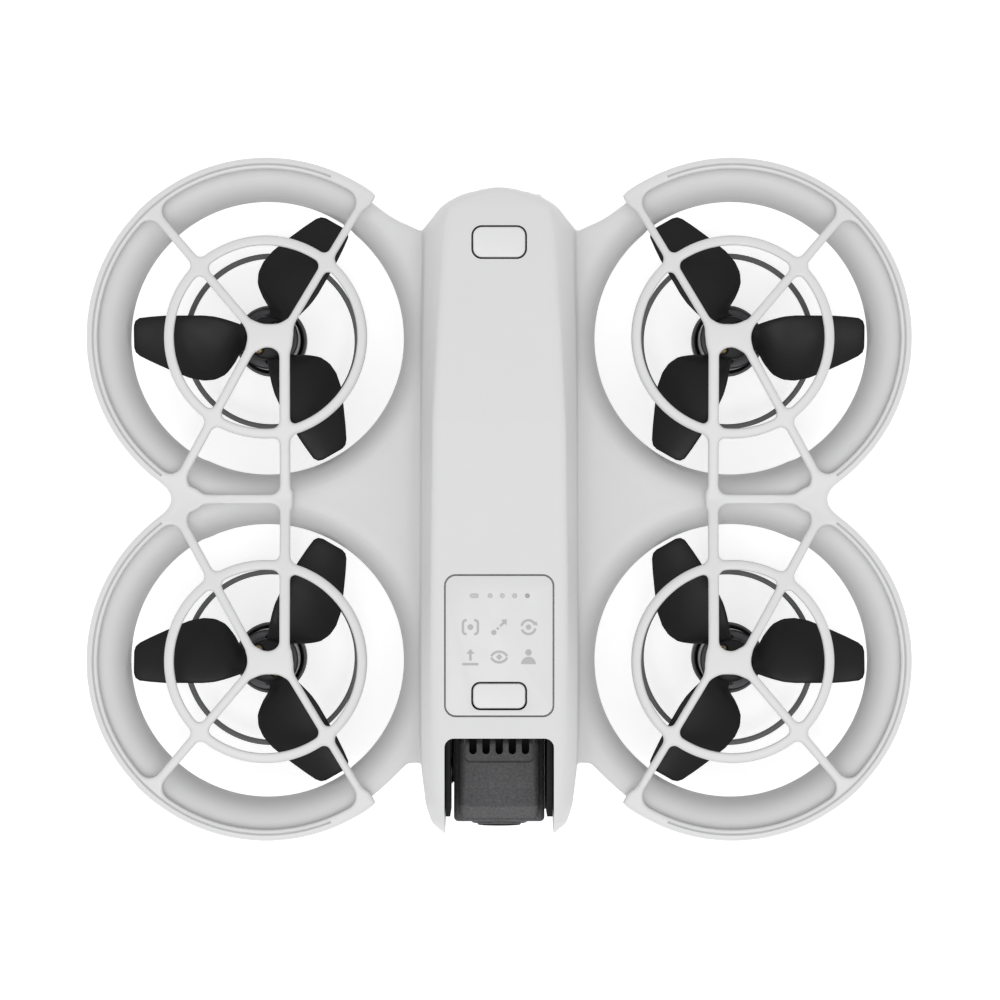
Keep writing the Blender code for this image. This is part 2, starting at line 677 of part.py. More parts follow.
def propulsion(corner, side, end):
    """Propeller, its two screws, and the motor's bell, stator and shaft, about one upright axis."""
    x, y = side * DUCT_X, end * DUCT_Y
    axis = (x, y, 0)
    hand = -side * end
    hub = [
        (HUB_R - 0.6, HUB_Z[1]),
        (HUB_R, HUB_Z[1] - 0.8),
        (HUB_R, HUB_Z[0]),
        (1.3, HUB_Z[0]),
        (1.3, HUB_Z[1]),
    ]
    propeller = turned(f"propeller_{corner}", hub, axis, "propeller", steps=12)
    for index in range(BLADE_COUNT):
        angle = (0.0 if side > 0 else 180.0) + index * 360.0 / BLADE_COUNT
        join(propeller, blade(f"blade_{corner}_{index}", hand, angle, axis))
    bell_in = BELL_R - BELL_WALL
    ceiling = BELL_Z[1] - BELL_TOP
    bell = [
        (BELL_R - 0.5, BELL_Z[1]),
        (BELL_R, BELL_Z[1] - 0.6),
        (BELL_R, BELL_Z[0]),
        (bell_in, BELL_Z[0]),
        (bell_in, ceiling),
        (SHAFT_R + GAP, ceiling),
        (SHAFT_R + GAP, BELL_Z[1]),
    ]
    bell_object = turned(f"motor_bell_{corner}", bell, axis, "motor", steps=12)
    for index, sign in enumerate((-1, 1)):
        sx = x + sign * SCREW_OFFSET * 0.6
        sy = y + sign * end * SCREW_OFFSET * 0.8
        hole = rod(f"screw_hole_{corner}_{index}", (sx, sy, 20), (sx, sy, 34), 0.75, sides=8)
        seat = rod(f"screw_recess_{corner}_{index}", (sx, sy, 28.8), (sx, sy, 36), 1.15, sides=8)
        cut(propeller, hole, seat)
        cut(bell_object, hole)
        name = f"propeller_screw_{corner}_{index + 1}"
        head = rod(name, (sx, sy, 29.1), (sx, sy, 30.1), 0.85, "brass", sides=8, origin=axis)
        join(head, rod(f"{name}_shank", (sx, sy, 24.9), (sx, sy, 29.3), 0.45, sides=6))
    stator = [
        (STATOR_R, STATOR_Z[1]),
        (STATOR_R, 13.2),
        (5.9, 11.6),
        (5.9, STATOR_Z[0]),
        (SHAFT_R + GAP, STATOR_Z[0]),
        (SHAFT_R + GAP, STATOR_Z[1]),
    ]
    turned(f"motor_stator_{corner}", stator, axis, "copper", steps=12)
    rod(f"motor_shaft_{corner}", (x, y, 9.2), (x, y, 28.4), SHAFT_R, "steel", sides=8, origin=axis)


# ---------------------------------------------------------------- camera


def camera():
    """Camera head with lens on the tilt axis, its motor and pin, and the liner of the bay."""
    tilt = bpy.data.objects.new("camera_tilt_axis", None)
    PARTS.objects.link(tilt)
    tilt.location = Vector((0, TILT_Y, TILT_Z)) * MM
    lower = [(-43.4, 22.0), (-45.6, 20.4), (-57.6, 19.6), (-60.6, 22.6), (-60.6, 33.6), (-43.0, 33.6)]
    sections = [[(x, y, z) for y, z in lower] for x in (-HEAD_HALF, HEAD_HALF)]
    head = show(loft("head_lower", sections), "camera_head", "camera")
    upper = [(-43.0, 33.0), (-60.0, 33.0), (-58.6, 35.6), (-55.0, 38.2), (-46.4, 38.2), (-43.4, 36.0)]
    sections = [[(x, y, z) for y, z in upper] for x in (-HEAD_TOP_HALF, HEAD_TOP_HALF)]
    join(head, loft("head_upper", sections))
    cut(head, rod("barrel_way", (0, -45.4, LENS_Z), (0, -70, LENS_Z), LENS_R + GAP))
    for index in range(VENT_COUNT):
        x = (index - (VENT_COUNT - 1) / 2) * VENT_PITCH
        cut(head, box(f"vent_{index}", (x - VENT_HALF, VENT_FRONT, 36.6), (x + VENT_HALF, -40.0, 41)))
    barrel = rod("lens_barrel", (0, -50.0, LENS_Z), (0, -61.5, LENS_Z), LENS_R, "black")
    cut(barrel, rod("barrel_bore", (0, -50.9, LENS_Z), (0, -70, LENS_Z), 3.5))
    glass = rod("lens_glass", (0, -60.0, LENS_Z), (0, -61.2, LENS_Z), 3.2, "glass")
    board = box("image_sensor_board", (-3.1, -49.6, 24.6), (3.1, -48.4, 30.6), "board")
    for child in (head, barrel, glass, board):
        child.parent = tilt
        child.matrix_parent_inverse = Matrix.Translation(-tilt.location)
    y, z = TILT_Y, TILT_Z
    rod("gimbal_motor", (HEAD_HALF + GAP, y, z), (9.5, y, z), GIMBAL_MOTOR_R, "motor")
    rod("gimbal_pin", (-HEAD_HALF - GAP, y, z), (-9.5, y, z), GIMBAL_PIN_R, "steel", sides=12)


def bay_liner():
    """Black lining on the bay's side walls and rear wall, as one folded sheet."""
    outer = BAY_HALF - GAP
    liner = box("liner_block", (-outer, -59.0, 17.0), (outer, BAY_DEEP - GAP, 44.2))
    inner = outer - 0.35
    cut(liner, box("liner_room", (-inner, -70, 10), (inner, BAY_DEEP - GAP - 0.7, 50)))
    return show(liner, "bay_liner", "black")


# ---------------------------------------------------------------- controls and electronics


def controls():
    """Mode panel and button at the front, power button at the rear, and their switches."""
    low = PANEL_TOP - PANEL_THICK
    edge = GAP / 2
    outline = rectangle(
        -PANEL_HALF + edge, PANEL_FRONT + edge, PANEL_HALF - edge, PANEL_REAR - edge
    )
    panel = plate("mode_panel", rounded(outline, 2.05), low, PANEL_TOP - 0.05, "shell")
    hole = rectangle(-BUTTON_HALF - 0.35, BUTTON_FRONT - 0.35, BUTTON_HALF + 0.35, BUTTON_REAR + 0.35)
    cut(panel, plate("panel_button_hole", rounded(hole, 1.85), 40, 60))
    outline = rectangle(-BUTTON_HALF, BUTTON_FRONT, BUTTON_HALF, BUTTON_REAR)
    top = PANEL_TOP - 0.05
    plate("mode_button", rounded(outline, 1.5), top - BUTTON_TALL, top, "shell")
    outline = rectangle(-BUTTON_HALF, POWER_FRONT, BUTTON_HALF, POWER_REAR)
    plate("power_button", rounded(outline, 1.8), POWER_TOP - BUTTON_TALL, POWER_TOP, "shell")
    y = (BUTTON_FRONT + BUTTON_REAR) / 2
    mode_low = top - BUTTON_TALL
    box("mode_switch", (-2, y - 1.8, mode_low - 1.9), (2, y + 1.8, mode_low - 0.7), "black")
    y = (POWER_FRONT + POWER_REAR) / 2
    power_low = POWER_TOP - BUTTON_TALL
    box("power_switch", (-2, y - 2, power_low - 2.2), (2, y + 2, power_low - 0.7), "black")
    box("level_light_guide", (-5.8, -18.8, low - 1.4), (5.8, -17.4, low - GAP), "light")


def electronics():
    """Main board with its heat sink, the battery's connector, the USB port and the tail lamp."""
    box("main_board", (-10.8, -33.0, 26.4), (10.8, 46.0, 27.6), "board")
    sink = box("heat_sink", (-9.0, -26.0, 27.9), (9.0, 22.0, 34.0), "steel")
    for index in range(4):
        x = -6.6 + index * 4.4
        cut(sink, box(f"fin_gap_{index}", (x - 1.3, -30, 30.0), (x + 1.3, 30, 40)))
    front = BATTERY_FRONT
    box("battery_connector", (-7.0, front - 3.4, 8.0), (7.0, front - 0.5, 18.0), "black")
    port = box("usb_port", (-4.5, 51.0, 28.9), (4.5, 58.4, 32.2), "steel", bevel=1.0)
    cut(port, box("usb_mouth", (-4.1, 53.0, 29.4), (4.1, 60.0, 31.7)))
    join(port, box("usb_tongue", (-3.2, 52.0, 30.25), (3.2, 57.4, 30.85)))
    rod("status_light", (7.2, 55.0, 31), (7.2, 58.1, 31), 0.9, "light", sides=8)


def battery():
    """Battery case with an end cap, two cells, a terminal block and a buckle on each side."""
    half = BATTERY_HALF
    low, high = BATTERY_LOW, BATTERY_HIGH
    rear = BATTERY_REAR
    outline = [(-half, BATTERY_FRONT), (half, BATTERY_FRONT), (half, rear - 1.2), (half - 1.6, rear)]
    outline += [(-half + 1.6, rear), (-half, rear - 1.2)]
    case = plate("battery_case", outline, low, high, "battery")
    wall = BATTERY_WALL
    room_low = (-half + wall, BATTERY_FRONT - 2, low + wall)
    cut(case, box("cell_room", room_low, (half - wall, rear - END_CAP, high - wall)))
    x = half - wall - GAP
    cells_y = (BATTERY_FRONT + 4.0, rear - END_CAP - GAP)
    middle = (low + high) / 2
    for name, z0, z1 in (("lower", low + wall + GAP, middle - 0.2), ("upper", middle + 0.2, high - wall - GAP)):
        box(f"battery_cell_{name}", (-x, cells_y[0], z0), (x, cells_y[1], z1), "cell", bevel=1.0)
    front = BATTERY_FRONT
    box("battery_terminal", (-x, front, low + wall + GAP), (x, front + 3.6, high - wall - GAP), "black")
    for side, side_name in ((-1, "left"), (1, "right")):
        y0, y1 = BUCKLE_Y
        z0, z1 = BUCKLE_Z
        reach = sorted((side * 8.2, side * 20.0))
        pocket = ((reach[0], y0 - GAP, z0 - GAP), (reach[1], y1 + GAP, z1 + GAP))
        cut(case, box(f"buckle_pocket_{side_name}", *pocket))
        reach = sorted((side * 9.8, side * 12.6))
        name = f"battery_buckle_{side_name}"
        box(name, (reach[0], y0, z0), (reach[1], y1, z1), "battery", bevel=0.5)


def underside():
    """Ground camera, infrared window and the two rubber feet."""
    rod("ground_camera", (0, -24, 1.6), (0, -24, 6.0), 3.0, "glass", sides=12)
    box("infrared_sensor", (-4.0, -38.0, 1.9), (4.0, -34.0, 4.6), "glass")
    for name, front in (("front_foot", -32.5), ("rear_foot", 36.0)):
        low = (-FOOT_HALF, front, 0.0)
        box(name, low, (FOOT_HALF, front + FOOT_DEEP, FOOT_TALL), "rubber", bevel=0.3)


clear_scene()
PARTS = make_collection("camera_drone")
CUTTERS = make_collection("cutters")
upper_shell()
lower_shell()
screws()
guard(-1, "left")
guard(1, "right")
for place in corners_of_drone():
    propulsion(*place)
camera()
bay_liner()
controls()
electronics()
battery()
underside()
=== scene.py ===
"""Looks of the palm-size camera drone: moulded shells, guards, propellers, camera and controls."""

import json
import math

import bmesh
import bpy
import numpy as np
from mathutils import Matrix, Vector


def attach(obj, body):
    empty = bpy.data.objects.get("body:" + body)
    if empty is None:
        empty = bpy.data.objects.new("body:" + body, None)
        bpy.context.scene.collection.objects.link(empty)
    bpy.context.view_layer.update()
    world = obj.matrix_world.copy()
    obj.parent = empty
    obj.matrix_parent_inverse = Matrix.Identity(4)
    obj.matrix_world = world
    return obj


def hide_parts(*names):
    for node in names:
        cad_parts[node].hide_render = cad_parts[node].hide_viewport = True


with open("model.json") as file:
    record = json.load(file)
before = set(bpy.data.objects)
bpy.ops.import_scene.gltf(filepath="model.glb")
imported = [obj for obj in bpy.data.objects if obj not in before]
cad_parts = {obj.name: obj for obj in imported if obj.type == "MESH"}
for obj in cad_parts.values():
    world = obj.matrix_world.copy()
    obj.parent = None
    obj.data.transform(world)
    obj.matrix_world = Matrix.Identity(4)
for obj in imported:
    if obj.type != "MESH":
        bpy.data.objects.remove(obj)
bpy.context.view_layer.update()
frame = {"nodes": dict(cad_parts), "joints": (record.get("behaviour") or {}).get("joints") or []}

MM = 0.001

# ---------------------------------------------------------------- sizes, in millimetres

JOINTS = {joint["name"]: joint for joint in frame["joints"]}
REAR_RIGHT = JOINTS["spin_rear_right"]["pos_m"]
DUCT_X = REAR_RIGHT[0] / MM
DUCT_Y = REAR_RIGHT[1] / MM
CORNERS = (("rear_left", -1, 1), ("rear_right", 1, 1), ("front_left", -1, -1), ("front_right", 1, -1))

THROAT_R = 26.05
THROAT_Z = 25.0
LIP_R = 31.9
LIP_OUTER_R = 32.7
LIP_Z = 33.0
BARREL_R = 27.5
BARREL_Z = 7.0
DUCT_WALL = 1.5
PARTING_Z = 16.0
PARTING_GAP = 0.25
SHELL_TRIANGLES = 190000
WEB_LOW = 8.2

RIM_OUTER_R = 34.12
RIM_INNER_R = 32.05
RIM_TOP = 35.0
RIM_LOW = 28.0
SKIRT = 1.05
GROOVE_R = 32.95
GUARD_RING_R = (17.4, 19.3)
GUARD_TOP = 38.8
GUARD_THICK = 1.5
BAR_X = 40.7
BAR_WIDTH = 2.0
WAIST_BAR_WIDTH = 1.85
# Each spoke: angle at the rear left duct's centre, sideways offset, width.
SPOKES = ((59.3, -2.73, 1.5), (130.4, 0.86, 1.7), (241.1, -1.31, 1.75))

BAY_HALF = 10.3
BAY_REAR = -44.9
PANEL_FACE = 48.42
PANEL = (-10.36, -40.9, 10.36, -14.05)
MODE_BUTTON = (-5.1, -39.45, 5.1, -34.4)
POWER_BUTTON = (-5.1, 45.3, 5.1, 51.4)
POWER_TOP = 46.75
TILT_Y = JOINTS["camera_tilt"]["pos_m"][1] / MM
TILT_Z = JOINTS["camera_tilt"]["pos_m"][2] / MM
LENS_Z = 27.6
VENT_PITCH = 2.49
BOSSES = [(side * 13.4, y) for y in (40.0, -34.0) for side in (-1, 1)]
# The motor arms lie a little further out than the spokes above them.
ARM_SPREAD = 1.028

# Fuselage stations: y, then (half width, height) of panel edge, shoulder, waist, bilge, belly.
STATIONS = (
    (-63.6, (11.0, 43.6), (11.4, 40.5), (11.5, 32.0), (11.4, 27.5), (11.0, 24.5)),
    (-61.2, (11.6, 46.4), (13.9, 43.6), (14.4, 30.5), (14.0, 21.5), (12.8, 17.0)),
    (-57.6, (11.8, 47.6), (15.0, 45.2), (15.6, 29.0), (15.1, 15.5), (13.2, 11.0)),
    (-50.7, (12.0, 48.3), (15.7, 46.0), (16.6, 27.5), (16.0, 9.0), (13.4, 4.6)),
    (-44.0, (12.2, 48.5), (15.8, 46.0), (16.9, 27.0), (16.4, 6.5), (13.6, 2.0)),
    (-30.0, (12.6, 48.5), (15.8, 45.2), (16.9, 27.0), (16.4, 6.0), (13.6, 1.5)),
    (-16.7, (12.7, 48.5), (15.8, 43.6), (16.9, 27.0), (16.4, 6.0), (13.6, 1.5)),
    (14.9, (12.3, 48.5), (15.6, 42.6), (16.9, 27.0), (16.4, 6.0), (13.6, 1.5)),
    (32.0, (11.25, 47.5), (15.2, 41.8), (16.8, 27.0), (16.3, 6.0), (13.4, 1.5)),
    (51.4, (9.95, 46.3), (14.8, 40.8), (16.7, 27.0), (16.3, 7.0), (13.0, 1.8)),
    (55.7, (9.6, 45.9), (12.0, 40.6), (12.9, 27.0), (12.7, 9.0), (10.2, 3.4)),
    (57.3, (9.2, 45.5), (9.5, 41.0), (9.7, 30.0), (9.7, 27.5), (8.8, 25.5)),
    (58.3, (6.0, 45.3), (6.4, 41.2), (6.6, 31.0), (6.6, 28.0), (6.0, 26.0)),
    (58.9, (2.0, 45.1), (2.5, 41.5), (2.8, 33.0), (2.8, 29.0), (2.5, 26.5)),
)


# ---------------------------------------------------------------- distance fields


class Field:
    """Sample points of a regular block, as three arrays that broadcast against each other."""

    def __init__(self, low, high, step):
        self.low = np.array(low, np.float32)
        self.step = np.array(step, np.float32)
        counts = np.ceil((np.array(high) - self.low) / self.step).astype(int) + 1
        axes = [a + s * np.arange(n, dtype=np.float32) for a, s, n in zip(self.low, self.step, counts)]
        self.x = axes[0][:, None, None]
        self.y = axes[1][None, :, None]
        self.z = axes[2][None, None, :]


def fillet_union(a, b, radius):
    """Union of two distances with a round fillet in the corner between them."""
    u = np.maximum(radius - a, 0)
    v = np.maximum(radius - b, 0)
    return np.maximum(radius, np.minimum(a, b)) - np.sqrt(u * u + v * v)


def round_overlap(a, b, radius):
    """Intersection of two distances with the outer edge rounded."""
    u = np.maximum(radius + a, 0)
    v = np.maximum(radius + b, 0)
    return np.minimum(-radius, np.maximum(a, b)) + np.sqrt(u * u + v * v)


def smooth_min(a, b, radius):
    h = np.clip(0.5 + 0.5 * (b - a) / radius, 0, 1)
    return b + (a - b) * h - radius * h * (1 - h)


def half_plane(u, v, start, end):
    """Distance beyond the line from start to end in a (u, v) plane, positive on its left."""
    du = end[0] - start[0]
    dv = end[1] - start[1]
    length = np.sqrt(du * du + dv * dv)
    return ((u - start[0]) * -dv + (v - start[1]) * du) / length


def sample(values, points):
    """Trilinear reading of a block at fractional grid positions."""
    top = np.array(values.shape) - 2
    base = np.clip(np.floor(points).astype(np.int32), 0, top)
    part = points - base
    total = np.zeros(len(points), np.float32)
    for corner in np.ndindex(2, 2, 2):
        weight = np.ones(len(points), np.float32)
        for axis, bit in enumerate(corner):
            weight *= part[:, axis] if bit else 1 - part[:, axis]
        total += weight * values[tuple((base + corner).T)]
    return total


def untangle(values):
    """Fills samples where two surfaces would touch along an edge, so that each edge has two faces."""
    for _ in range(6):
        crossings = 0
        for pair in ((0, 1), (0, 2), (1, 2)):
            grid = np.moveaxis(values, pair, (0, 1))
            parts = grid[:-1, :-1], grid[1:, :-1], grid[:-1, 1:], grid[1:, 1:]
            a, b, c, d = (part < 0 for part in parts)
            crossed = (a == d) & (b == c) & (a != b)
            for part in parts:
                part[crossed] = np.minimum(part[crossed], -0.02)
            crossings += crossed.sum()
        if not crossings:
            break


def polygonise(field, values):
    """Quads through the zero surface of a sampled distance, one vertex in each cell it crosses."""
    untangle(values)
    inside = values < 0
    cells_shape = np.array(values.shape) - 1
    count = np.zeros(cells_shape, np.uint8)
    for corner in np.ndindex(2, 2, 2):
        count += inside[tuple(slice(c, c + n) for c, n in zip(corner, cells_shape))]
    active = (count > 0) & (count < 8)
    cells = np.argwhere(active)
    index = np.full(active.shape, -1, np.int32)
    index[active] = np.arange(len(cells), dtype=np.int32)
    total = np.zeros((len(cells), 3), np.float32)
    hits = np.zeros(len(cells), np.float32)
    for axis in range(3):
        for pair in np.ndindex(2, 2):
            start = np.insert(np.array(pair), axis, 0)
            end = np.insert(np.array(pair), axis, 1)
            a = values[tuple((cells + start).T)]
            b = values[tuple((cells + end).T)]
            hit = (a < 0) != (b < 0)
            total[hit] += start
            total[hit, axis] += a[hit] / (a[hit] - b[hit])
            hits[hit] += 1
    points = cells + total / hits[:, None]
    points = onto_surface(values, points, field.step)
    quads = []
    for axis in range(3):
        first = np.moveaxis(inside, axis, 0)[:-1]
        last = np.moveaxis(inside, axis, 0)[1:]
        around = np.moveaxis(index, axis, 0)
        crossing = (first != last)[:, 1:-1, 1:-1]
        i, j, k = np.nonzero(crossing)
        ring = [around[i, j + dj, k + dk] for dj, dk in ((0, 0), (1, 0), (1, 1), (0, 1))]
        quad = np.stack(ring, axis=1)
        outward = first[:, 1:-1, 1:-1][i, j, k]
        if axis == 1:
            outward = ~outward
        quad[~outward] = quad[~outward][:, ::-1]
        quads.append(quad)
    return (field.low + points * field.step) * MM, np.concatenate(quads)


def onto_surface(values, points, step):
    """Slides points along the distance's slope until they lie on the surface."""
    reach = 0.4
    for _ in range(2):
        here = sample(values, points)
        slope = np.empty_like(points)
        for axis in range(3):
            offset = np.zeros(3, np.float32)
            offset[axis] = reach
            slope[:, axis] = (sample(values, points + offset) - sample(values, points - offset)) / (2 * reach)
        slope /= step
        size = np.maximum((slope * slope).sum(axis=1), 0.05)
        move = np.clip(here / size, -0.5, 0.5)[:, None] * slope
        points = points - move / step
    return points


# ---------------------------------------------------------------- object helpers


def helper(name, mesh):
    obj = bpy.data.objects.new(name, mesh)
    bpy.context.scene.collection.objects.link(obj)
    return obj


def quad_object(name, points, quads):
    """An object from big arrays of points and quads."""
    mesh = bpy.data.meshes.new(name)
    mesh.vertices.add(len(points))
    mesh.vertices.foreach_set("co", np.ascontiguousarray(points, np.float32).ravel())
    mesh.loops.add(len(quads) * 4)
    mesh.loops.foreach_set("vertex_index", np.ascontiguousarray(quads, np.int32).ravel())
    mesh.polygons.add(len(quads))
    mesh.polygons.foreach_set("loop_start", np.arange(0, len(quads) * 4, 4, dtype=np.int32))
    mesh.update(calc_edges=True)
    mesh.validate()
    return helper(name, mesh)


def from_bmesh(name, bm):
    """An object of the faces built so far, turned outward."""
    bmesh.ops.recalc_face_normals(bm, faces=bm.faces)
    mesh = bpy.data.meshes.new(name)
    bm.to_mesh(mesh)
    bm.free()
    return helper(name, mesh)


def smooth(obj, angle=35):
    obj.data.shade_smooth()
    obj.data.set_sharp_from_angle(angle=math.radians(angle))


def own(obj, body, slot, material, angle=35):
    """Finishes a piece: shading, material and body; the slot argument is not used. NODE_visual stands for the
    CAD node NODE.
    """
    smooth(obj, angle)
    obj.data.materials.clear()
    obj.data.materials.append(material)
    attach(obj, body)
    node = obj.name.removesuffix("_visual")
    if node != obj.name:
        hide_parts(node)
    return obj


def apply_modifiers(obj):
    graph = bpy.context.evaluated_depsgraph_get()
    mesh = bpy.data.meshes.new_from_object(obj.evaluated_get(graph))
    obj.modifiers.clear()
    obj.data = mesh


def cut_away(obj, *cutters, operation="DIFFERENCE"):
    """Applies Booleans at once and removes the cutters."""
    for cutter in cutters:
        modifier = obj.modifiers.new(cutter.name, "BOOLEAN")
        modifier.operation = operation
        modifier.solver = "MANIFOLD"
        modifier.object = cutter
    bpy.context.view_layer.update()
    apply_modifiers(obj)
    for cutter in cutters:
        bpy.data.objects.remove(cutter)


def merge(obj, *others):
    cut_away(obj, *others, operation="UNION")


def bevel(obj, width, segments=3, angle=35):
    modifier = obj.modifiers.new("rounded edges", "BEVEL")
    modifier.width = width * MM
    modifier.segments = segments
    modifier.limit_method = "ANGLE"
    modifier.angle_limit = math.radians(angle)
    modifier.harden_normals = False
    bpy.context.view_layer.update()
    apply_modifiers(obj)
    smooth(obj)
    return obj


def thin_out(obj, most):
    """Merges the flattest triangles until at most this many are left."""
    count = sum(len(face.vertices) - 2 for face in obj.data.polygons)
    if count > most:
        modifier = obj.modifiers.new("fewer triangles", "DECIMATE")
        modifier.ratio = most / count
        bpy.context.view_layer.update()
        apply_modifiers(obj)


def block(name, low, high):
    bm = bmesh.new()
    bmesh.ops.create_cube(bm, size=1.0)
    size = (Vector(high) - Vector(low)) * MM
    middle = (Vector(high) + Vector(low)) / 2 * MM
    bmesh.ops.transform(bm, matrix=Matrix.Translation(middle) @ Matrix.Diagonal((*size, 1)), verts=bm.verts)
    return from_bmesh(name, bm)


def rod(name, start, end, radius, sides=48):
    bm = bmesh.new()
    along = Vector(end) - Vector(start)
    size = {"radius1": radius * MM, "radius2": radius * MM, "depth": along.length * MM}
    bmesh.ops.create_cone(bm, cap_ends=True, segments=sides, **size)
    turn = Vector((0, 0, 1)).rotation_difference(along.normalized()).to_matrix().to_4x4()
    bmesh.ops.transform(
        bm, matrix=Matrix.Translation((Vector(start) + along / 2) * MM) @ turn, verts=bm.verts
    )
    return from_bmesh(name, bm)


def turned(name, profile, centre, steps=64):
    """A closed (radius, height) profile turned about an upright axis."""
    angles = np.linspace(0, 2 * math.pi, steps, endpoint=False)
    bm = bmesh.new()
    rings = []
    for r, z in profile:
        if r < 1e-6:
            rings.append([bm.verts.new(Vector((centre[0], centre[1], z)) * MM)])
            continue
        ring = [(centre[0] + r * math.cos(a), centre[1] + r * math.sin(a), z) for a in angles]
        rings.append([bm.verts.new(Vector(p) * MM) for p in ring])
    closed = rings + rings[:1]
    for upper, lower in zip(closed, closed[1:]):
        if len(upper) == 1 and len(lower) == 1:
            continue
        for i in range(steps):
            j = (i + 1) % steps
            corner = [
                upper[i % len(upper)], upper[j % len(upper)], lower[j % len(lower)], lower[i % len(lower)],
            ]
            bm.faces.new(dict.fromkeys(corner))
    return from_bmesh(name, bm)


def rounded(corners, radius, steps=8):
    """The outline through the corners with each one turned into an arc."""
    outline = []
    count = len(corners)
    for i, corner in enumerate(corners):
        here = Vector(corner)
        back = (Vector(corners[i - 1]) - here).normalized()
        ahead = (Vector(corners[(i + 1) % count]) - here).normalized()
        half = back.angle(ahead) / 2
        middle = here + (back + ahead).normalized() * radius / math.sin(half)
        first = here + back * radius / math.tan(half) - middle
        last = here + ahead * radius / math.tan(half) - middle
        whole = first.angle_signed(last)
        for step in range(steps + 1):
            outline.append(tuple(middle + Matrix.Rotation(-whole * step / steps, 2) @ first))
    return outline


def rectangle(x_low, y_low, x_high, y_high):
    return [(x_low, y_low), (x_high, y_low), (x_high, y_high), (x_low, y_high)]


def grown(box, margin):
    return box[0] - margin, box[1] - margin, box[2] + margin, box[3] + margin


def loft(name, rings):
    """A solid through rings of points, closed at both ends."""
    bm = bmesh.new()
    rings = [[bm.verts.new(Vector(point) * MM) for point in ring] for ring in rings]
    for first, last in zip(rings, rings[1:]):
        for i in range(len(first)):
            j = (i + 1) % len(first)
            bm.faces.new((first[i], first[j], last[j], last[i]))
    bm.faces.new(rings[0][::-1])
    bm.faces.new(rings[-1])
    return from_bmesh(name, bm)


def plate(name, outline, low, high):
    """An outline without holes, given a thickness."""
    return loft(name, [[(x, y, z) for x, y in outline] for z in (low, high)])


def drills(name, centre, radius, count, start, low, high, bore):
    """Upright drills spread evenly round a centre."""
    angles = [math.radians(start + k * 360 / count) for k in range(count)]
    places = [(centre[0] + radius * math.cos(a), centre[1] + radius * math.sin(a)) for a in angles]
    return [rod(name, (*place, low), (*place, high), bore, 24) for place in places]


def cross(x, y, half, width, low, high):
    """Two blocks that cut the recess of a cross-head screw."""
    sides = (half, width), (width, half)
    return [block("cross", (x - a, y - b, low), (x + a, y + b, high)) for a, b in sides]


def facing(name, outline, y_low, y_high):
    """An (x, z) outline given a thickness along Y."""
    piece = plate(name, outline, -y_high, -y_low)
    piece.data.transform(Matrix(((1, 0, 0, 0), (0, 0, -1, 0), (0, 1, 0, 0), (0, 0, 0, 1))))
    return piece


# ---------------------------------------------------------------- shells

# Plan of the web beside the fuselage on one side, front to rear; the fuselage covers its inner ends.
WEB_PLAN = (
    (0.0, -44.0), (14.0, -50.2), (17.7, -50.4), (24.9, -56.4), (DUCT_X, -DUCT_Y), (57.6, -4.5),
    (57.6, 4.5), (DUCT_X, DUCT_Y), (24.6, 55.6), (14.0, 50.7), (0.0, 46.0),
)


def polygon_distance(x, y, outline):
    """Signed distance to a plan outline, negative inside."""
    nearest = np.full(np.broadcast(x, y).shape, 1e6, np.float32)
    inside = np.zeros(nearest.shape, bool)
    for (x0, y0), (x1, y1) in zip(outline, outline[1:] + outline[:1]):
        dx, dy = x1 - x0, y1 - y0
        along = np.clip(((x - x0) * dx + (y - y0) * dy) / (dx * dx + dy * dy), 0, 1)
        nearest = np.minimum(nearest, np.hypot(x - x0 - along * dx, y - y0 - along * dy))
        if dy:
            beside = (y0 > y) != (y1 > y)
            inside ^= beside & (x < x0 + (y - y0) * dx / dy)
    return np.where(inside, -nearest, nearest)


def bell_side(r, z):
    """Negative in the material round an air passage: under the lip, outside the bellmouth and barrel."""
    wide = LIP_R - THROAT_R
    tall = LIP_Z - THROAT_Z
    u = (r - LIP_R) / wide
    v = (z - THROAT_Z) / tall
    size = np.sqrt(u * u + v * v)
    mouth = size * (size - 1) / np.maximum(np.sqrt((u / wide) ** 2 + (v / tall) ** 2), 1e-4)
    barrel = THROAT_R + (THROAT_Z - z) * (BARREL_R - THROAT_R) / (THROAT_Z - BARREL_Z) - r
    return np.where(r > LIP_R, z - LIP_Z, np.where(z > THROAT_Z, mouth, barrel))


def fuselage_distance(x, y, z):
    """Rounded section through five points, which change smoothly along the body."""
    places = [row[0] for row in STATIONS]
    offsets = np.linspace(-0.6, 0.6, 3)

    def along(point, part):
        values = [row[point + 1][part] for row in STATIONS]
        mean = np.mean([np.interp(y.ravel() + offset, places, values) for offset in offsets], axis=0)
        return mean.astype(np.float32).reshape(y.shape)

    corners = [(along(point, 0), along(point, 1)) for point in range(5)]
    distance = z - corners[0][1]
    for start, end, radius in zip(corners, corners[1:], (0.6, 1.0, 6.0, 4.0)):
        distance = round_overlap(distance, half_plane(x, z, start, end), radius)
    distance = round_overlap(distance, corners[4][1] - z, 2.5)
    distance = round_overlap(distance, y - 58.8, 0.5)
    return round_overlap(distance, -63.9 - y, 1.0)


def ring_distance(r, z):
    """A duct's own ring: bellmouth and barrel of even thickness under a rolled lip."""
    side = bell_side(r, z)
    ring = round_overlap(side, -side - DUCT_WALL, 0.3)
    ring = round_overlap(ring, r - LIP_OUTER_R, 0.5)
    return round_overlap(ring, BARREL_Z - z, 0.5)


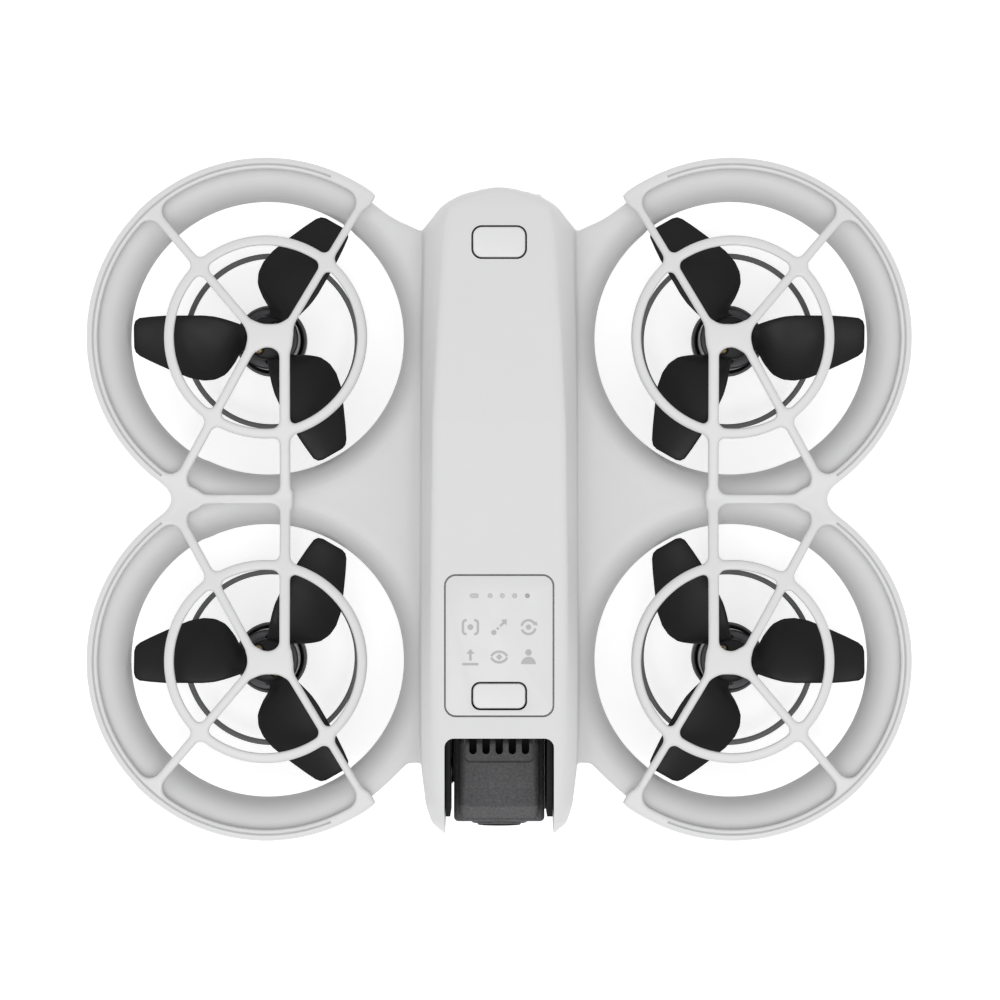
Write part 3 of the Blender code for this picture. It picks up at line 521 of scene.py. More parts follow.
def body_values(field):
    """The right half of both shells as one solid skin."""
    x, y, z = field.x, field.y, field.z
    fuselage = fuselage_distance(x, y, z)
    plan = polygon_distance(x, y, WEB_PLAN)
    slab = np.abs(z - (LIP_Z + WEB_LOW) / 2) - (LIP_Z - WEB_LOW) / 2
    high = np.clip((z - 14) / 8, 0, 1)
    sweep = np.interp(y.ravel(), (-50, -36, -26, 40, 50), (1.0, 3.0, 9.5, 9.5, 6.0))
    sweep = sweep.astype(np.float32).reshape(y.shape)
    fairing = round_overlap(plan, fillet_union(slab, fuselage, 2.0 + high * sweep), 1.2)
    radii = [np.hypot(x - DUCT_X, y - end * DUCT_Y) for end in (1, -1)]
    for r in radii:
        fairing = smooth_min(fairing, ring_distance(r, z), 1.2)
    for r in radii:
        fairing = round_overlap(fairing, bell_side(r, z), 0.7)
    return smooth_min(fairing, fuselage, 1.0)


def shells():
    """Upper and lower shell, cut apart at the parting line."""
    step = 0.5
    field = Field((0, -64.6, 0.5), (79, 64.6, 50), (step, step, step))
    half = body_values(field)
    values = np.concatenate([half[:0:-1], half])
    field.low[0] = -step * (half.shape[0] - 1)
    low, high = PARTING_Z - PARTING_GAP / 2, PARTING_Z + PARTING_GAP / 2
    upper = np.maximum(values, high - field.z)
    lower = np.maximum(values, field.z - low)
    named = (("upper_shell_visual", upper), ("lower_shell_visual", lower))
    return [quad_object(name, *polygonise(field, part)) for name, part in named]


# ---------------------------------------------------------------- guards


def dome(r):
    """Height of a guard's top at a distance from its duct's centre."""
    return GUARD_TOP - (GUARD_TOP - RIM_TOP) * (np.minimum(r, 33.0) / 33.0) ** 1.4


def spoke_frame(x, y, angle):
    """Distance along and across a line through the duct centre.

    x grows inboard and y grows away from the waist.
    """
    turn = math.radians(angle)
    along = x * math.cos(turn) + y * math.sin(turn)
    across = -x * math.sin(turn) + y * math.cos(turn)
    return along, across


def beside_first_spoke(x, y):
    """Negative where the rim runs, positive past the innermost spoke, where the guard is open."""
    angle, offset, width = SPOKES[0]
    _, across = spoke_frame(x, y, angle)
    return offset - width / 2 - across


def guard_plan(x, y):
    """Plan of spokes, ring, hub pad and bars round one duct, as a distance."""
    r = np.hypot(x, y)
    plan = np.abs(r - sum(GUARD_RING_R) / 2) - (GUARD_RING_R[1] - GUARD_RING_R[0]) / 2
    pad = np.hypot(np.maximum(np.abs(x - 0.9) - 2.6, 0), np.maximum(np.abs(y - 0.2) - 1.1, 0)) - 1.1
    for angle, offset, width in SPOKES:
        along, across = spoke_frame(x, y, angle)
        spoke = np.maximum(np.abs(across - offset) - width / 2, np.maximum(-along, along - 33.2))
        pad = fillet_union(pad, spoke, 1.8)
    bar = np.maximum(np.abs(x - DUCT_X + BAR_X) - BAR_WIDTH / 2, np.maximum(y, -y - DUCT_Y - 1.0))
    pad = fillet_union(pad, bar, 1.8)
    return fillet_union(plan, pad, 1.3)


def rim_groove(name, centre, start, end):
    """A V-shaped groove cutter that follows a rim between two angles in degrees."""
    corners = ((GROOVE_R - 0.5, RIM_TOP + 0.42), (GROOVE_R, RIM_TOP - 0.42), (GROOVE_R + 0.5, RIM_TOP + 0.42))
    rings = []
    for angle in np.radians(np.linspace(start, end, 140)):
        c, s = math.cos(angle), math.sin(angle)
        rings.append([(centre[0] + r * c, centre[1] + r * s, z) for r, z in corners])
    return loft(name, rings)


def guard_skin(name, side):
    """One side's guard: two rims, hubs and rings, with the waist between them."""
    step = 0.38
    field = Field((8, 0, 27.2), (79.6, 66, 40), (step, step, step))
    x, y, z = field.x, field.y, field.z
    inboard = DUCT_X - x
    own, other = y - DUCT_Y, -y - DUCT_Y
    r = np.hypot(inboard, own)
    plan = guard_plan(inboard, own)
    waist_bar = np.maximum(y - WAIST_BAR_WIDTH / 2, np.abs(x - 51.2) - 11.4)
    plan = fillet_union(plan, waist_bar, 1.8)
    r_other = np.hypot(inboard, other)
    rim_half = (RIM_OUTER_R - RIM_INNER_R) / 2
    bands = [np.abs(radius - RIM_INNER_R - rim_half) - rim_half for radius in (r, r_other)]
    open_side = beside_first_spoke(inboard, own)
    past_waist = np.minimum(inboard + 13.5, -own)
    rims = round_overlap(fillet_union(*bands, 2.0), np.maximum(open_side, past_waist), 0.4)
    outline = fillet_union(r - RIM_OUTER_R, r_other - RIM_OUTER_R, 5.2)
    plan = round_overlap(fillet_union(plan, rims, 2.6), outline, 0.3)
    sheet = round_overlap(plan, np.abs(z - dome(r) + GUARD_THICK / 2) - GUARD_THICK / 2, 0.5)
    skirt = np.maximum(np.abs(outline + SKIRT / 2) - SKIRT / 2, np.maximum(RIM_LOW - z, z - RIM_TOP + 0.6))
    skirt = round_overlap(skirt, open_side, 0.4)
    values = fillet_union(sheet, skirt, 0.5)
    values = np.concatenate([values[:, :0:-1], values], axis=1)
    field.low[1] = -step * (values.shape[1] // 2)
    points, quads = polygonise(field, values)
    if side < 0:
        points[:, 0] *= -1
        quads = quads[:, ::-1]
    return quad_object(name, points, quads)


# ---------------------------------------------------------------- materials


def plain(
    name, colour, roughness, metallic=0.0, grain=0.0, grain_scale=2500.0, coat=0.0, mottle=0.04, shine=0.5,
    mottle_scale=90.0,
):
    """Moulded or machined finish: slightly uneven colour and gloss, and a fine raised grain."""
    material = bpy.data.materials.new(name)
    material.use_nodes = True
    tree = material.node_tree
    shader = tree.nodes["Principled BSDF"]
    shader.inputs["Metallic"].default_value = metallic
    shader.inputs["Coat Weight"].default_value = coat
    shader.inputs["Specular IOR Level"].default_value = shine
    place = tree.nodes.new("ShaderNodeTexCoord")

    def noise(scale, detail):
        node = tree.nodes.new("ShaderNodeTexNoise")
        node.inputs["Scale"].default_value = scale
        node.inputs["Detail"].default_value = detail
        tree.links.new(place.outputs["Object"], node.inputs["Vector"])
        return node

    def spread(source, low, high):
        node = tree.nodes.new("ShaderNodeMapRange")
        node.inputs["From Min"].default_value = 0.3
        node.inputs["From Max"].default_value = 0.7
        node.inputs["To Min"].default_value = low
        node.inputs["To Max"].default_value = high
        tree.links.new(source.outputs["Fac"], node.inputs["Value"])
        return node

    wear = noise(mottle_scale, 4.0)
    tint = tree.nodes.new("ShaderNodeMix")
    tint.data_type = "RGBA"
    tint.inputs["A"].default_value = (*[c * (1 - mottle) for c in colour], 1)
    tint.inputs["B"].default_value = (*[min(c * (1 + mottle), 1) for c in colour], 1)
    tree.links.new(spread(wear, 0, 1).outputs["Result"], tint.inputs["Factor"])
    tree.links.new(tint.outputs["Result"], shader.inputs["Base Color"])
    gloss = spread(noise(300.0, 3.0), roughness - 0.04, roughness + 0.05)
    tree.links.new(gloss.outputs["Result"], shader.inputs["Roughness"])
    if grain:
        bump = tree.nodes.new("ShaderNodeBump")
        bump.inputs["Strength"].default_value = grain
        bump.inputs["Distance"].default_value = 0.00004
        tree.links.new(noise(grain_scale, 2.0).outputs["Fac"], bump.inputs["Height"])
        tree.links.new(bump.outputs["Normal"], shader.inputs["Normal"])
    return material


SHELL = plain("shell plastic", (0.60, 0.60, 0.602), 0.5, grain=0.25, mottle=0.004)
GUARD = plain("guard plastic", (0.62, 0.62, 0.622), 0.42, grain=0.2, mottle=0.004)
# Lower frame colour: dark grey, partly the plastic's own colour and partly painted shade that stands in for
# the shadow inside the ducts.
FRAME_GREY_AND_SHADE = plain("lower frame plastic", (0.11, 0.11, 0.113), 0.45, grain=0.25)
INLAY = plain("panel plastic", (0.60, 0.60, 0.605), 0.36, grain=0.12, mottle=0.01)
BUTTON = plain("button plastic", (0.64, 0.64, 0.645), 0.38, grain=0.15, mottle=0.01)
PRINT = plain("printed marks", (0.38, 0.38, 0.38), 0.5)
PALE_PRINT = plain("pale printed marks", (0.46, 0.46, 0.46), 0.5)
PROP = plain("propeller plastic", (0.008, 0.008, 0.009), 0.42, grain=0.3, shine=0.2)
BELL = plain("motor anodised", (0.045, 0.045, 0.048), 0.36, metallic=0.85, grain=0.1)
STEEL = plain("brushed steel", (0.55, 0.55, 0.57), 0.32, metallic=1.0, grain=0.2)
COPPER = plain("motor windings", (0.50, 0.24, 0.11), 0.4, metallic=1.0, grain=0.3)
BRASS = plain("brass screw", (0.26, 0.20, 0.12), 0.45, metallic=1.0, grain=0.2)
CAMERA = plain(
    "camera housing", (0.062, 0.062, 0.065), 0.5, grain=1.0, grain_scale=1500.0, mottle=0.3, shine=0.3,
    mottle_scale=2200.0,
)
BLACK = plain("black plastic", (0.005, 0.005, 0.005), 0.6, grain=0.4, shine=0.2)
GLASS = plain("coated glass", (0.012, 0.012, 0.02), 0.06, coat=1.0)
LENS = plain("lens element", (0.03, 0.02, 0.06), 0.05, coat=1.0)
BOARD = plain("circuit board", (0.02, 0.09, 0.045), 0.45, grain=0.3)
BATTERY = plain("battery case", (0.50, 0.50, 0.505), 0.46, grain=0.3, mottle=0.015)
CELL = plain("cell wrap", (0.28, 0.28, 0.30), 0.38, metallic=0.3, grain=0.2)
RUBBER = plain("rubber feet", (0.07, 0.07, 0.07), 0.8, grain=0.6)
LAMP = plain("light window", (0.80, 0.80, 0.76), 0.25)
DARK_LAMP = plain("unlit window", (0.33, 0.33, 0.33), 0.45, shine=0.3)


# ---------------------------------------------------------------- fuselage and lower frame


def along_spoke(side, end, angle, offset, distance):
    """A point of a spoke line, mirrored from the rear left duct to the one asked for."""
    turn = math.radians(angle)
    x = distance * math.cos(turn) - offset * math.sin(turn)
    y = distance * math.sin(turn) + offset * math.cos(turn)
    return side * (DUCT_X - x), end * (DUCT_Y + y)


def beam(name, start, end, width, low, high):
    """A straight bar between two plan points."""
    along = (Vector(end) - Vector(start)).normalized()
    across = Vector((-along.y, along.x)) * width / 2
    corners = [Vector(start) - across, Vector(end) - across, Vector(end) + across, Vector(start) + across]
    return plate(name, [tuple(c) for c in corners], low, high)


def cut_shells(upper, lower):
    """Openings of both shells: camera bay, panel, buttons, port, lamp, battery bay and underside."""
    mouth = rounded(rectangle(-BAY_HALF, -70, BAY_HALF, BAY_REAR), 1.8, 12)
    deep = rounded(rectangle(-BAY_HALF, -70, BAY_HALF, -38.6), 0.8)
    panel = rounded(rectangle(*PANEL), 2.2, 12)
    button = rounded(rectangle(*grown(MODE_BUTTON, 0.3)), 1.8, 10)
    power = rounded(rectangle(*grown(POWER_BUTTON, 0.14)), 1.94, 12)
    for shell in (upper, lower):
        knives = [
            plate("bay_mouth", mouth, 38.0, 60.0),
            plate("bay_depth", deep, 14.0, 44.6),
            block("battery_bay", (-11.5, -10.0, 3.7), (11.5, 70.0, 24.3)),
        ]
        for side in (-1, 1):
            low, high = sorted((side * 10.0, side * 20.0))
            knives.append(block("buckle_notch", (low, 47.0, 8.0), (high, 64.0, 20.0)))
        if shell is upper:
            knives += [
                plate("panel_pocket", panel, 47.0, 60.0),
                plate("button_well", button, 42.0, 60.0),
                plate("power_well", power, 41.0, 60.0),
            ]
            slot_outline = rounded([(-4.9, 28.6), (4.9, 28.6), (4.9, 32.6), (-4.9, 32.6)], 1.3)
            knives.append(facing("usb_hole", slot_outline, 50.0, 62.0))
            knives.append(rod("lamp_hole", (7.2, 50, 31), (7.2, 62, 31), 1.1))
            for index in range(5):
                y = -36.7 - index * 2.0
                knives.append(rod("sound_hole", (15.3, y, 42.0), (17.2, y, 47.0), 0.32, 24))
        else:
            knives += [
                block("chin", (-BAY_HALF, -70, -5), (BAY_HALF, -46.0, 40)),
                rod("ground_hole", (0, -24, -1), (0, -24, 7.0), 3.25, 64),
                block("infrared_hole", (-4.2, -38.2, -1), (4.2, -33.8, 5.5)),
            ]
            for x, y in BOSSES:
                knives.append(rod("screw_seat", (x, y, 0), (x, y, 3.6), 1.7))
            for side in (-1, 1):
                for index in range(6):
                    y = -12.0 + index * 4.0
                    slot_plan = rounded(rectangle(side * 6.5 - 4.2, y - 0.7, side * 6.5 + 4.2, y + 0.7), 0.65)
                    knives.append(plate("vent", slot_plan, 0.0, 2.6))
        cut_away(shell, *knives)


def lower_frame(corner, side, end):
    """Motor arms, ring and cup below one propeller, in dark grey plastic whose darkness is partly its own
    colour and partly painted shade inside the duct.
    """
    x, y = side * DUCT_X, end * DUCT_Y
    ring = [
        (16.15, 9.1), (16.3, 9.25), (17.0, 9.25), (17.15, 9.1), (17.15, 7.2), (17.0, 7.0), (16.3, 7.0),
        (16.15, 7.2),
    ]
    frame_piece = turned(f"lower_frame_{corner}", ring, (x, y), 128)
    parts = []
    lines = []
    for angle, offset, _ in SPOKES:
        lines.append([along_spoke(side, end, angle, offset, reach) for reach in (5.6, 27.0)])
    lines.append([(side * BAR_X, end * (DUCT_Y - 5.4)), (side * BAR_X, end * 3.6)])
    for inner, outer in lines:
        inner, outer = Vector(inner) * ARM_SPREAD, Vector(outer) * ARM_SPREAD
        reach = outer - Vector((x, y))
        outer = Vector((x, y)) + reach.normalized() * (BARREL_R + 0.8)
        parts.append(beam("arm", inner, outer, 1.3, 7.15, 9.15))
    cup = [
        (6.9, 11.8), (6.7, 12.0), (6.45, 12.0), (6.3, 11.8), (6.3, 8.6), (0.0, 8.6), (0.0, 6.95), (6.6, 6.95),
        (6.9, 7.3),
    ]
    merge(frame_piece, *parts, turned("cup", cup, (x, y), 96))
    cut_away(frame_piece, rod("cup_room", (x, y, 8.6), (x, y, 20), 6.28, 96))
    bevel(frame_piece, 0.12, 2)
    own(frame_piece, "airframe", "shell", FRAME_GREY_AND_SHADE)


# ---------------------------------------------------------------- propellers and motors

# Each blade station: reach, leading edge, trailing edge, height of leading and trailing edge, thickness.
BLADE = (
    (2.2, 1.9, -1.5, 29.3, 27.3, 1.7),
    (3.6, 2.2, -1.9, 29.6, 27.3, 1.6),
    (5.0, 2.6, -2.3, 30.1, 27.3, 1.45),
    (6.4, 3.1, -4.9, 30.7, 27.1, 1.3),
    (8.0, 3.6, -6.9, 31.1, 27.0, 1.15),
    (10.0, 4.1, -7.9, 31.2, 27.0, 1.05),
    (12.2, 4.3, -8.1, 31.1, 27.2, 1.0),
    (14.9, 4.3, -7.6, 31.0, 27.5, 0.95),
    (17.2, 4.3, -6.7, 30.8, 27.9, 0.9),
    (19.3, 4.3, -5.8, 30.7, 28.3, 0.85),
    (22.2, 4.1, -4.5, 30.4, 28.6, 0.8),
    (24.4, 3.85, -3.4, 30.2, 28.8, 0.75),
    (25.2, 3.3, -2.7, 30.1, 28.95, 0.6),
    (25.5, 2.4, -1.8, 30.0, 29.1, 0.35),
)


def blade(name, hand, angle, centre):
    """A cambered, twisted aerofoil lofted through the stations, with its tip corners rounded."""
    turn = Matrix.Rotation(math.radians(angle), 3, "Z")
    chord_steps = 12
    spread = [(1 - math.cos(math.pi * i / chord_steps)) / 2 for i in range(chord_steps + 1)]
    rings = []
    places, *columns = zip(*BLADE)
    for reach in np.concatenate([np.linspace(2.2, 24.4, 34), (24.8, 25.2, 25.4, 25.5)]):
        lead, trail, high, low, thick = (np.interp(reach, places, column) for column in columns)
        upper, under = [], []
        for t in spread:
            across = lead + (trail - lead) * t
            height = high + (low - high) * t
            camber = 0.05 * (lead - trail) * math.sin(math.pi * t) ** 0.9
            depth = 0.5 * thick * (2.2 * math.sqrt(t) * (1 - t) + 0.25 * t * (1 - t) + 0.12)
            upper.append((reach, -hand * across, height - 0.4 + camber + depth))
            under.append((reach, -hand * across, height - 0.4 + camber - depth))
        ring = upper + under[::-1]
        rings.append([turn @ Vector(p) + Vector((*centre, 0)) for p in ring])
    return loft(name, rings)


def rotor(corner, side, end):
    """Propeller, screws, bell, shaft and stator about one upright axis."""
    x, y = side * DUCT_X, end * DUCT_Y
    hand = -side * end
    body = f"rotor_{corner}"
    screws = [(x + sign * 1.62, y + sign * end * 2.16) for sign in (-1, 1)]
    hub = [
        (1.2, 30.1), (1.5, 30.35), (3.5, 30.3), (4.0, 30.0), (4.2, 29.5), (4.2, 26.6), (4.0, 26.3),
        (1.2, 26.3),
    ]
    propeller = turned(f"propeller_{corner}_visual", hub, (x, y), 96)
    first = 0.0 if side > 0 else 180.0
    merge(propeller, *(blade("blade", hand, first + k * 120.0, (x, y)) for k in range(3)))
    seats = [rod("seat", (sx, sy, 29.1), (sx, sy, 34), 1.1, 40) for sx, sy in screws]
    holes = [rod("hole", (sx, sy, 20), (sx, sy, 34), 0.6, 32) for sx, sy in screws]
    cut_away(propeller, *seats, *holes, rod("eye", (x, y, 20), (x, y, 34), 0.95, 40))
    own(propeller, body, "propeller", PROP, 40)

    profile = [
        (4.3, 25.75), (4.9, 25.8), (5.5, 25.75), (5.8, 25.4), (5.8, 23.4), (5.68, 23.3), (5.68, 22.9), (
            5.8, 22.8,
        ),
        (5.8, 14.2), (5.7, 14.1), (5.7, 13.7), (5.8, 13.6), (5.8, 12.8), (5.6, 12.6), (5.25, 12.6), (
            5.2, 12.8,
        ),
        (5.2, 24.6), (1.05, 24.6), (1.05, 26.0), (3.4, 26.0), (3.6, 25.75),
    ]
    bell = turned(f"motor_bell_{corner}_visual", profile, (x, y), 96)
    cut_away(bell, *drills("window", (x, y), 4.25, 6, 30, 24, 27, 0.55))
    own(bell, body, "motor", BELL)

    shaft = [(0.0, 28.4), (0.55, 28.4), (0.75, 28.2), (0.75, 9.4), (0.55, 9.2), (0.0, 9.2)]
    piece = turned(f"motor_shaft_{corner}_visual", shaft, (x, y), 32)
    own(piece, body, "steel", STEEL)
    for index, (sx, sy) in enumerate(screws):
        name = f"propeller_screw_{corner}_{index + 1}"
        head = [
            (0.0, 30.12), (0.5, 30.1), (0.85, 29.85), (0.88, 29.15), (0.45, 29.1), (0.45, 24.9), (0.0, 24.9),
        ]
        screw = turned(f"{name}_visual", head, (sx, sy), 40)
        cut_away(screw, *cross(sx, sy, 0.5, 0.13, 29.7, 31))
        own(screw, body, "brass", BRASS)

    flange = [
        (1.1, 22.6), (2.6, 22.6), (2.7, 22.2), (2.7, 13.4), (4.6, 12.4), (4.7, 11.9), (5.8, 11.5), (
            6.0, 11.2,
        ),
        (6.0, 9.1), (5.8, 8.9), (1.1, 8.9),
    ]
    stator = turned(f"motor_stator_{corner}_visual", flange, (x, y), 96)
    cut_away(stator, *drills("bore", (x, y), 5.05, 4, 45, 10.5, 14, 0.42))
    own(stator, "airframe", "motor", BELL)
    coils = bmesh.new()
    for k in range(9):
        angle = math.radians(k * 40)
        place = Matrix.Translation(Vector((x, y, 18.0)) * MM) @ Matrix.Rotation(angle, 4, "Z")
        place = place @ Matrix.Translation(Vector((3.6, 0, 0)) * MM)
        made = bmesh.ops.create_cube(coils, size=1.0)["verts"]
        bmesh.ops.transform(
            coils, matrix=place @ Matrix.Diagonal((1.7 * MM, 1.5 * MM, 8.6 * MM, 1)), verts=made
        )
    winding = from_bmesh(f"motor_winding_{corner}", coils)
    bevel(winding, 0.45, 3)
    own(winding, "airframe", "copper", COPPER)


# ---------------------------------------------------------------- camera and its bay


def side_profile(name, outline, x_low, x_high):
    """A (y, z) outline given a width along X."""
    piece = plate(name, outline, x_low, x_high)
    piece.data.transform(Matrix(((0, 0, 1, 0), (1, 0, 0, 0), (0, 1, 0, 0), (0, 0, 0, 1))))
    return piece


def front_turned(name, profile, centre, steps=96):
    """A (radius, forward distance) profile turned about an axis along Y, at (x, z)."""
    piece = turned(name, profile, (0, 0), steps)
    x, z = centre
    piece.data.transform(Matrix(((1, 0, 0, x * MM), (0, 0, -1, 0), (0, 1, 0, z * MM), (0, 0, 0, 1))))
    return piece


def camera_head():
    lower = rounded(
        [(-43.4, 22.0), (-45.6, 20.2), (-58.4, 19.7), (-61.4, 22.6), (-61.4, 33.6), (-43.4, 33.6)], 0.9, 6
    )
    head = side_profile("camera_head_visual", lower, -8.62, 8.62)
    bevel(head, 1.0, 6)
    upper = rounded([
        (-43.2, 30.0), (-60.9, 30.0), (-60.9, 33.4), (-58.3, 36.6), (-54.6, 38.3), (-46.2, 38.3),
        (-43.2, 36.2),
    ], 1.4, 8)
    crown = side_profile("crown", upper, -7.7, 7.7)
    bevel(crown, 1.6, 7)
    merge(head, crown)
    pad = rounded(rectangle(-6.7, -49.9, 6.7, -40.0), 1.2, 8)
    border = plate("border", pad, 37.75, 41)
    middle = rounded(rectangle(-6.35, -49.55, 6.35, -39.0), 0.9, 8)
    cut_away(border, plate("middle", middle, 37, 42))
    knives = [
        border,
        rod("barrel_way", (0, -45.4, LENS_Z), (0, -70, LENS_Z), 4.6, 96),
    ]
    for index in range(5):
        x = (index - 2) * VENT_PITCH
        slot_plan = rounded(rectangle(x - 0.715, -48.35, x + 0.715, -40.0), 0.7, 8)
        knives.append(plate("vent", slot_plan, 33.2, 41))
    seam = [(-62.0, 33.95), (-42.0, 33.95), (-42.0, 34.15), (-62.0, 34.15)]
    for x_low, x_high in ((-9.0, -6.95), (6.95, 9.0)):
        knives.append(side_profile("seam", seam, x_low, x_high))
    face = rounded([(-7.4, 23.2), (7.4, 23.2), (7.4, 32.0), (-7.4, 32.0)], 2.6, 10)
    knives.append(facing("face_recess", face, -64.0, -61.15))
    cut_away(head, *knives)
    own(head, "camera", "camera", CAMERA)
    backing = block("vent_backing", (-6.6, -48.6, 33.1), (6.6, -44.4, 33.5))
    own(backing, "camera", "camera", BLACK)

    collar = [(5.3, 60.9), (5.3, 61.75), (5.1, 61.9), (4.75, 61.9), (4.62, 61.75), (4.62, 60.9)]
    ring = front_turned("lens_collar", collar, (0, LENS_Z))
    own(ring, "camera", "camera", CAMERA)
    barrel = [
        (4.3, 50.0), (4.3, 61.9), (4.05, 62.3), (3.85, 62.3), (3.7, 62.1), (3.7, 60.9), (3.5, 60.7), (
            3.5, 60.2,
        ),
        (3.3, 60.1), (3.3, 59.6), (2.6, 58.8), (2.6, 54.0), (3.5, 53.0), (3.5, 50.9), (0.0, 50.9), (
            0.0, 50.0,
        ),
    ]
    tube = front_turned("lens_barrel_visual", barrel, (0, LENS_Z))
    own(tube, "camera", "black", BLACK)
    glass = [
        (3.2, 60.2), (3.25, 60.6), (2.6, 60.95), (1.6, 61.15), (0.0, 61.25), (0.0, 60.75), (1.6, 60.65),
        (2.6, 60.45), (2.9, 60.2),
    ]
    window = front_turned("lens_glass_visual", glass, (0, LENS_Z))
    own(window, "camera", "glass", GLASS)
    inner = [(2.5, 57.6), (2.2, 58.1), (1.2, 58.5), (0.0, 58.6), (0.0, 57.2), (2.5, 57.2)]
    element = front_turned("lens_inner_element", inner, (0, LENS_Z))
    own(element, "camera", "glass", LENS)


def bay_details():
    """Black lining, gimbal motor with its arm, and the pivot pin."""
    outline = [
        (-10.1, -59.8), (-9.2, -59.8), (-9.2, -39.7), (9.0, -39.7), (9.0, -59.8), (10.1, -59.8),
        (10.1, -38.95), (-10.1, -38.95),
    ]
    liner = plate("bay_liner_visual", outline, 17.0, 44.2)
    bevel(liner, 0.1, 2)
    ribs = []
    for z in (22.0, 26.0, 38.0, 41.0):
        ribs.append(block("rib", (-9.0, -40.1, z - 0.25), (9.0, -39.5, z + 0.25)))
    # Ledges close the gaps beside the camera, except the slit at the front left.
    for x_low, x_high, front in ((-9.9, -8.75, -54.6), (8.75, 9.9, -59.8)):
        ribs.append(block("ledge", (x_low, front, 18.0), (x_high, -39.4, 19.2)))
    merge(liner, *ribs)
    own(liner, "airframe", "black", BLACK)

    across = Matrix(((0, 0, 1, 0), (1, 0, 0, TILT_Y * MM), (0, 1, 0, TILT_Z * MM), (0, 0, 0, 1)))
    motor = [(0.0, 8.8), (4.6, 8.8), (4.8, 8.85), (5.4, 9.0), (5.4, 9.5), (5.0, 9.62), (0.0, 9.62)]
    piece = turned("gimbal_motor_visual", motor, (0, 0), 96)
    piece.data.transform(across)
    own(piece, "airframe", "motor", BELL)
    pin = [(0.0, -8.8), (2.3, -8.8), (2.6, -9.0), (2.6, -9.62), (0.0, -9.62)]
    piece = turned("gimbal_pin_visual", pin, (0, 0), 64)
    piece.data.transform(across)
    own(piece, "airframe", "steel", BELL)
    arm = rounded(
        [(-48.2, 16.6), (-56.6, 16.6), (-57.6, 30.0), (-55.0, 35.6), (-48.6, 35.6), (-46.4, 30.0)], 1.5, 6
    )
    yoke = side_profile("gimbal_yoke", arm, 9.05, 9.6)
    cut_away(yoke, rod("eye", (5, TILT_Y, TILT_Z), (12, TILT_Y, TILT_Z), 5.5, 96))
    bevel(yoke, 0.12, 2)
    own(yoke, "airframe", "motor", BLACK)


# ---------------------------------------------------------------- controls


def arc(x, y, r, start, end, steps=20):
    turns = np.radians(np.linspace(start, end, steps))
    return [(x + r * math.cos(a), y + r * math.sin(a)) for a in turns]


def thick(points, width):
    """Outline of a band along an open centreline."""
    line = [Vector(p) for p in points]
    sides = ([], [])
    for i, here in enumerate(line):
        along = (line[min(i + 1, len(line) - 1)] - line[max(i - 1, 0)]).normalized()
        across = Vector((-along.y, along.x)) * width / 2
        sides[0].append(tuple(here + across))
        sides[1].append(tuple(here - across))
    return sides[0] + sides[1][::-1]


# Shapes of each pictogram about its own middle, as outlines in millimetres.
BOLD = 0.46
MARK_STEP = 0.006
PICTOGRAMS = {
    "frame and dot": [
        thick([(-0.7, 1.3)] + arc(-0.85, 0.75, 0.55, 90, 180, 8) + arc(-0.85, -0.75, 0.55, 180, 270, 8) + [(
            -0.7, -1.3,
        )], BOLD),
        thick([(0.7, 1.3)] + arc(0.85, 0.75, 0.55, 90, 0, 8) + arc(0.85, -0.75, 0.55, 0, -90, 8) + [(
            0.7, -1.3,
        )], BOLD),
        arc(0, 0, 0.55, 0, 345, 24),
    ],
    "dot and arrow": [
        arc(-1.0, -1.0, 0.5, 0, 345, 24),
        thick([(-0.4, -0.4), (-0.1, -0.1)], BOLD),
        thick([(0.2, 0.2), (1.0, 1.0)], BOLD),
        [(1.45, 1.45), (0.35, 1.35), (1.35, 0.35)],
    ],
    "circling arrow": [
        thick(arc(0, 0, 1.3, 20, 170), BOLD),
        thick(arc(0, 0, 1.3, 200, 350), BOLD),
        [(1.75, 0.25), (0.75, 0.55), (1.5, 1.1)],
        arc(0, 0, 0.5, 0, 345, 24),
    ],
    "take off": [
        thick([(0.0, -0.7), (0.0, 0.8)], BOLD),
        [(0.0, 1.5), (-0.75, 0.6), (0.75, 0.6)],
        thick([(-1.5, -1.35), (1.5, -1.35)], BOLD),
    ],
    "sway": [
        thick(arc(0, -0.75, 1.75, 30, 150), BOLD),
        thick(arc(0, 0.75, 1.75, 210, 330), BOLD),
        [(0.6, 0.0), (0.0, 0.6), (-0.6, 0.0), (0.0, -0.6)],
    ],
    "person": [
        arc(0, 0.85, 0.6, 0, 345, 24),
        arc(0, -1.35, 1.4, 0, 180, 18),
    ],
}


def print_marks(name, places, low, high, material, body):
    """Thin pads that stand for the printed pictograms, as one piece."""
    bm = bmesh.new()
    for kind, cx, cy in places:
        for index, outline in enumerate(PICTOGRAMS[kind]):
            pad = plate("pad", [(cx + x, cy + y) for x, y in outline], low, high + MARK_STEP * index)
            bm.from_mesh(pad.data)
            bpy.data.objects.remove(pad)
    own(from_bmesh(name, bm), body, "shell", material, 20)


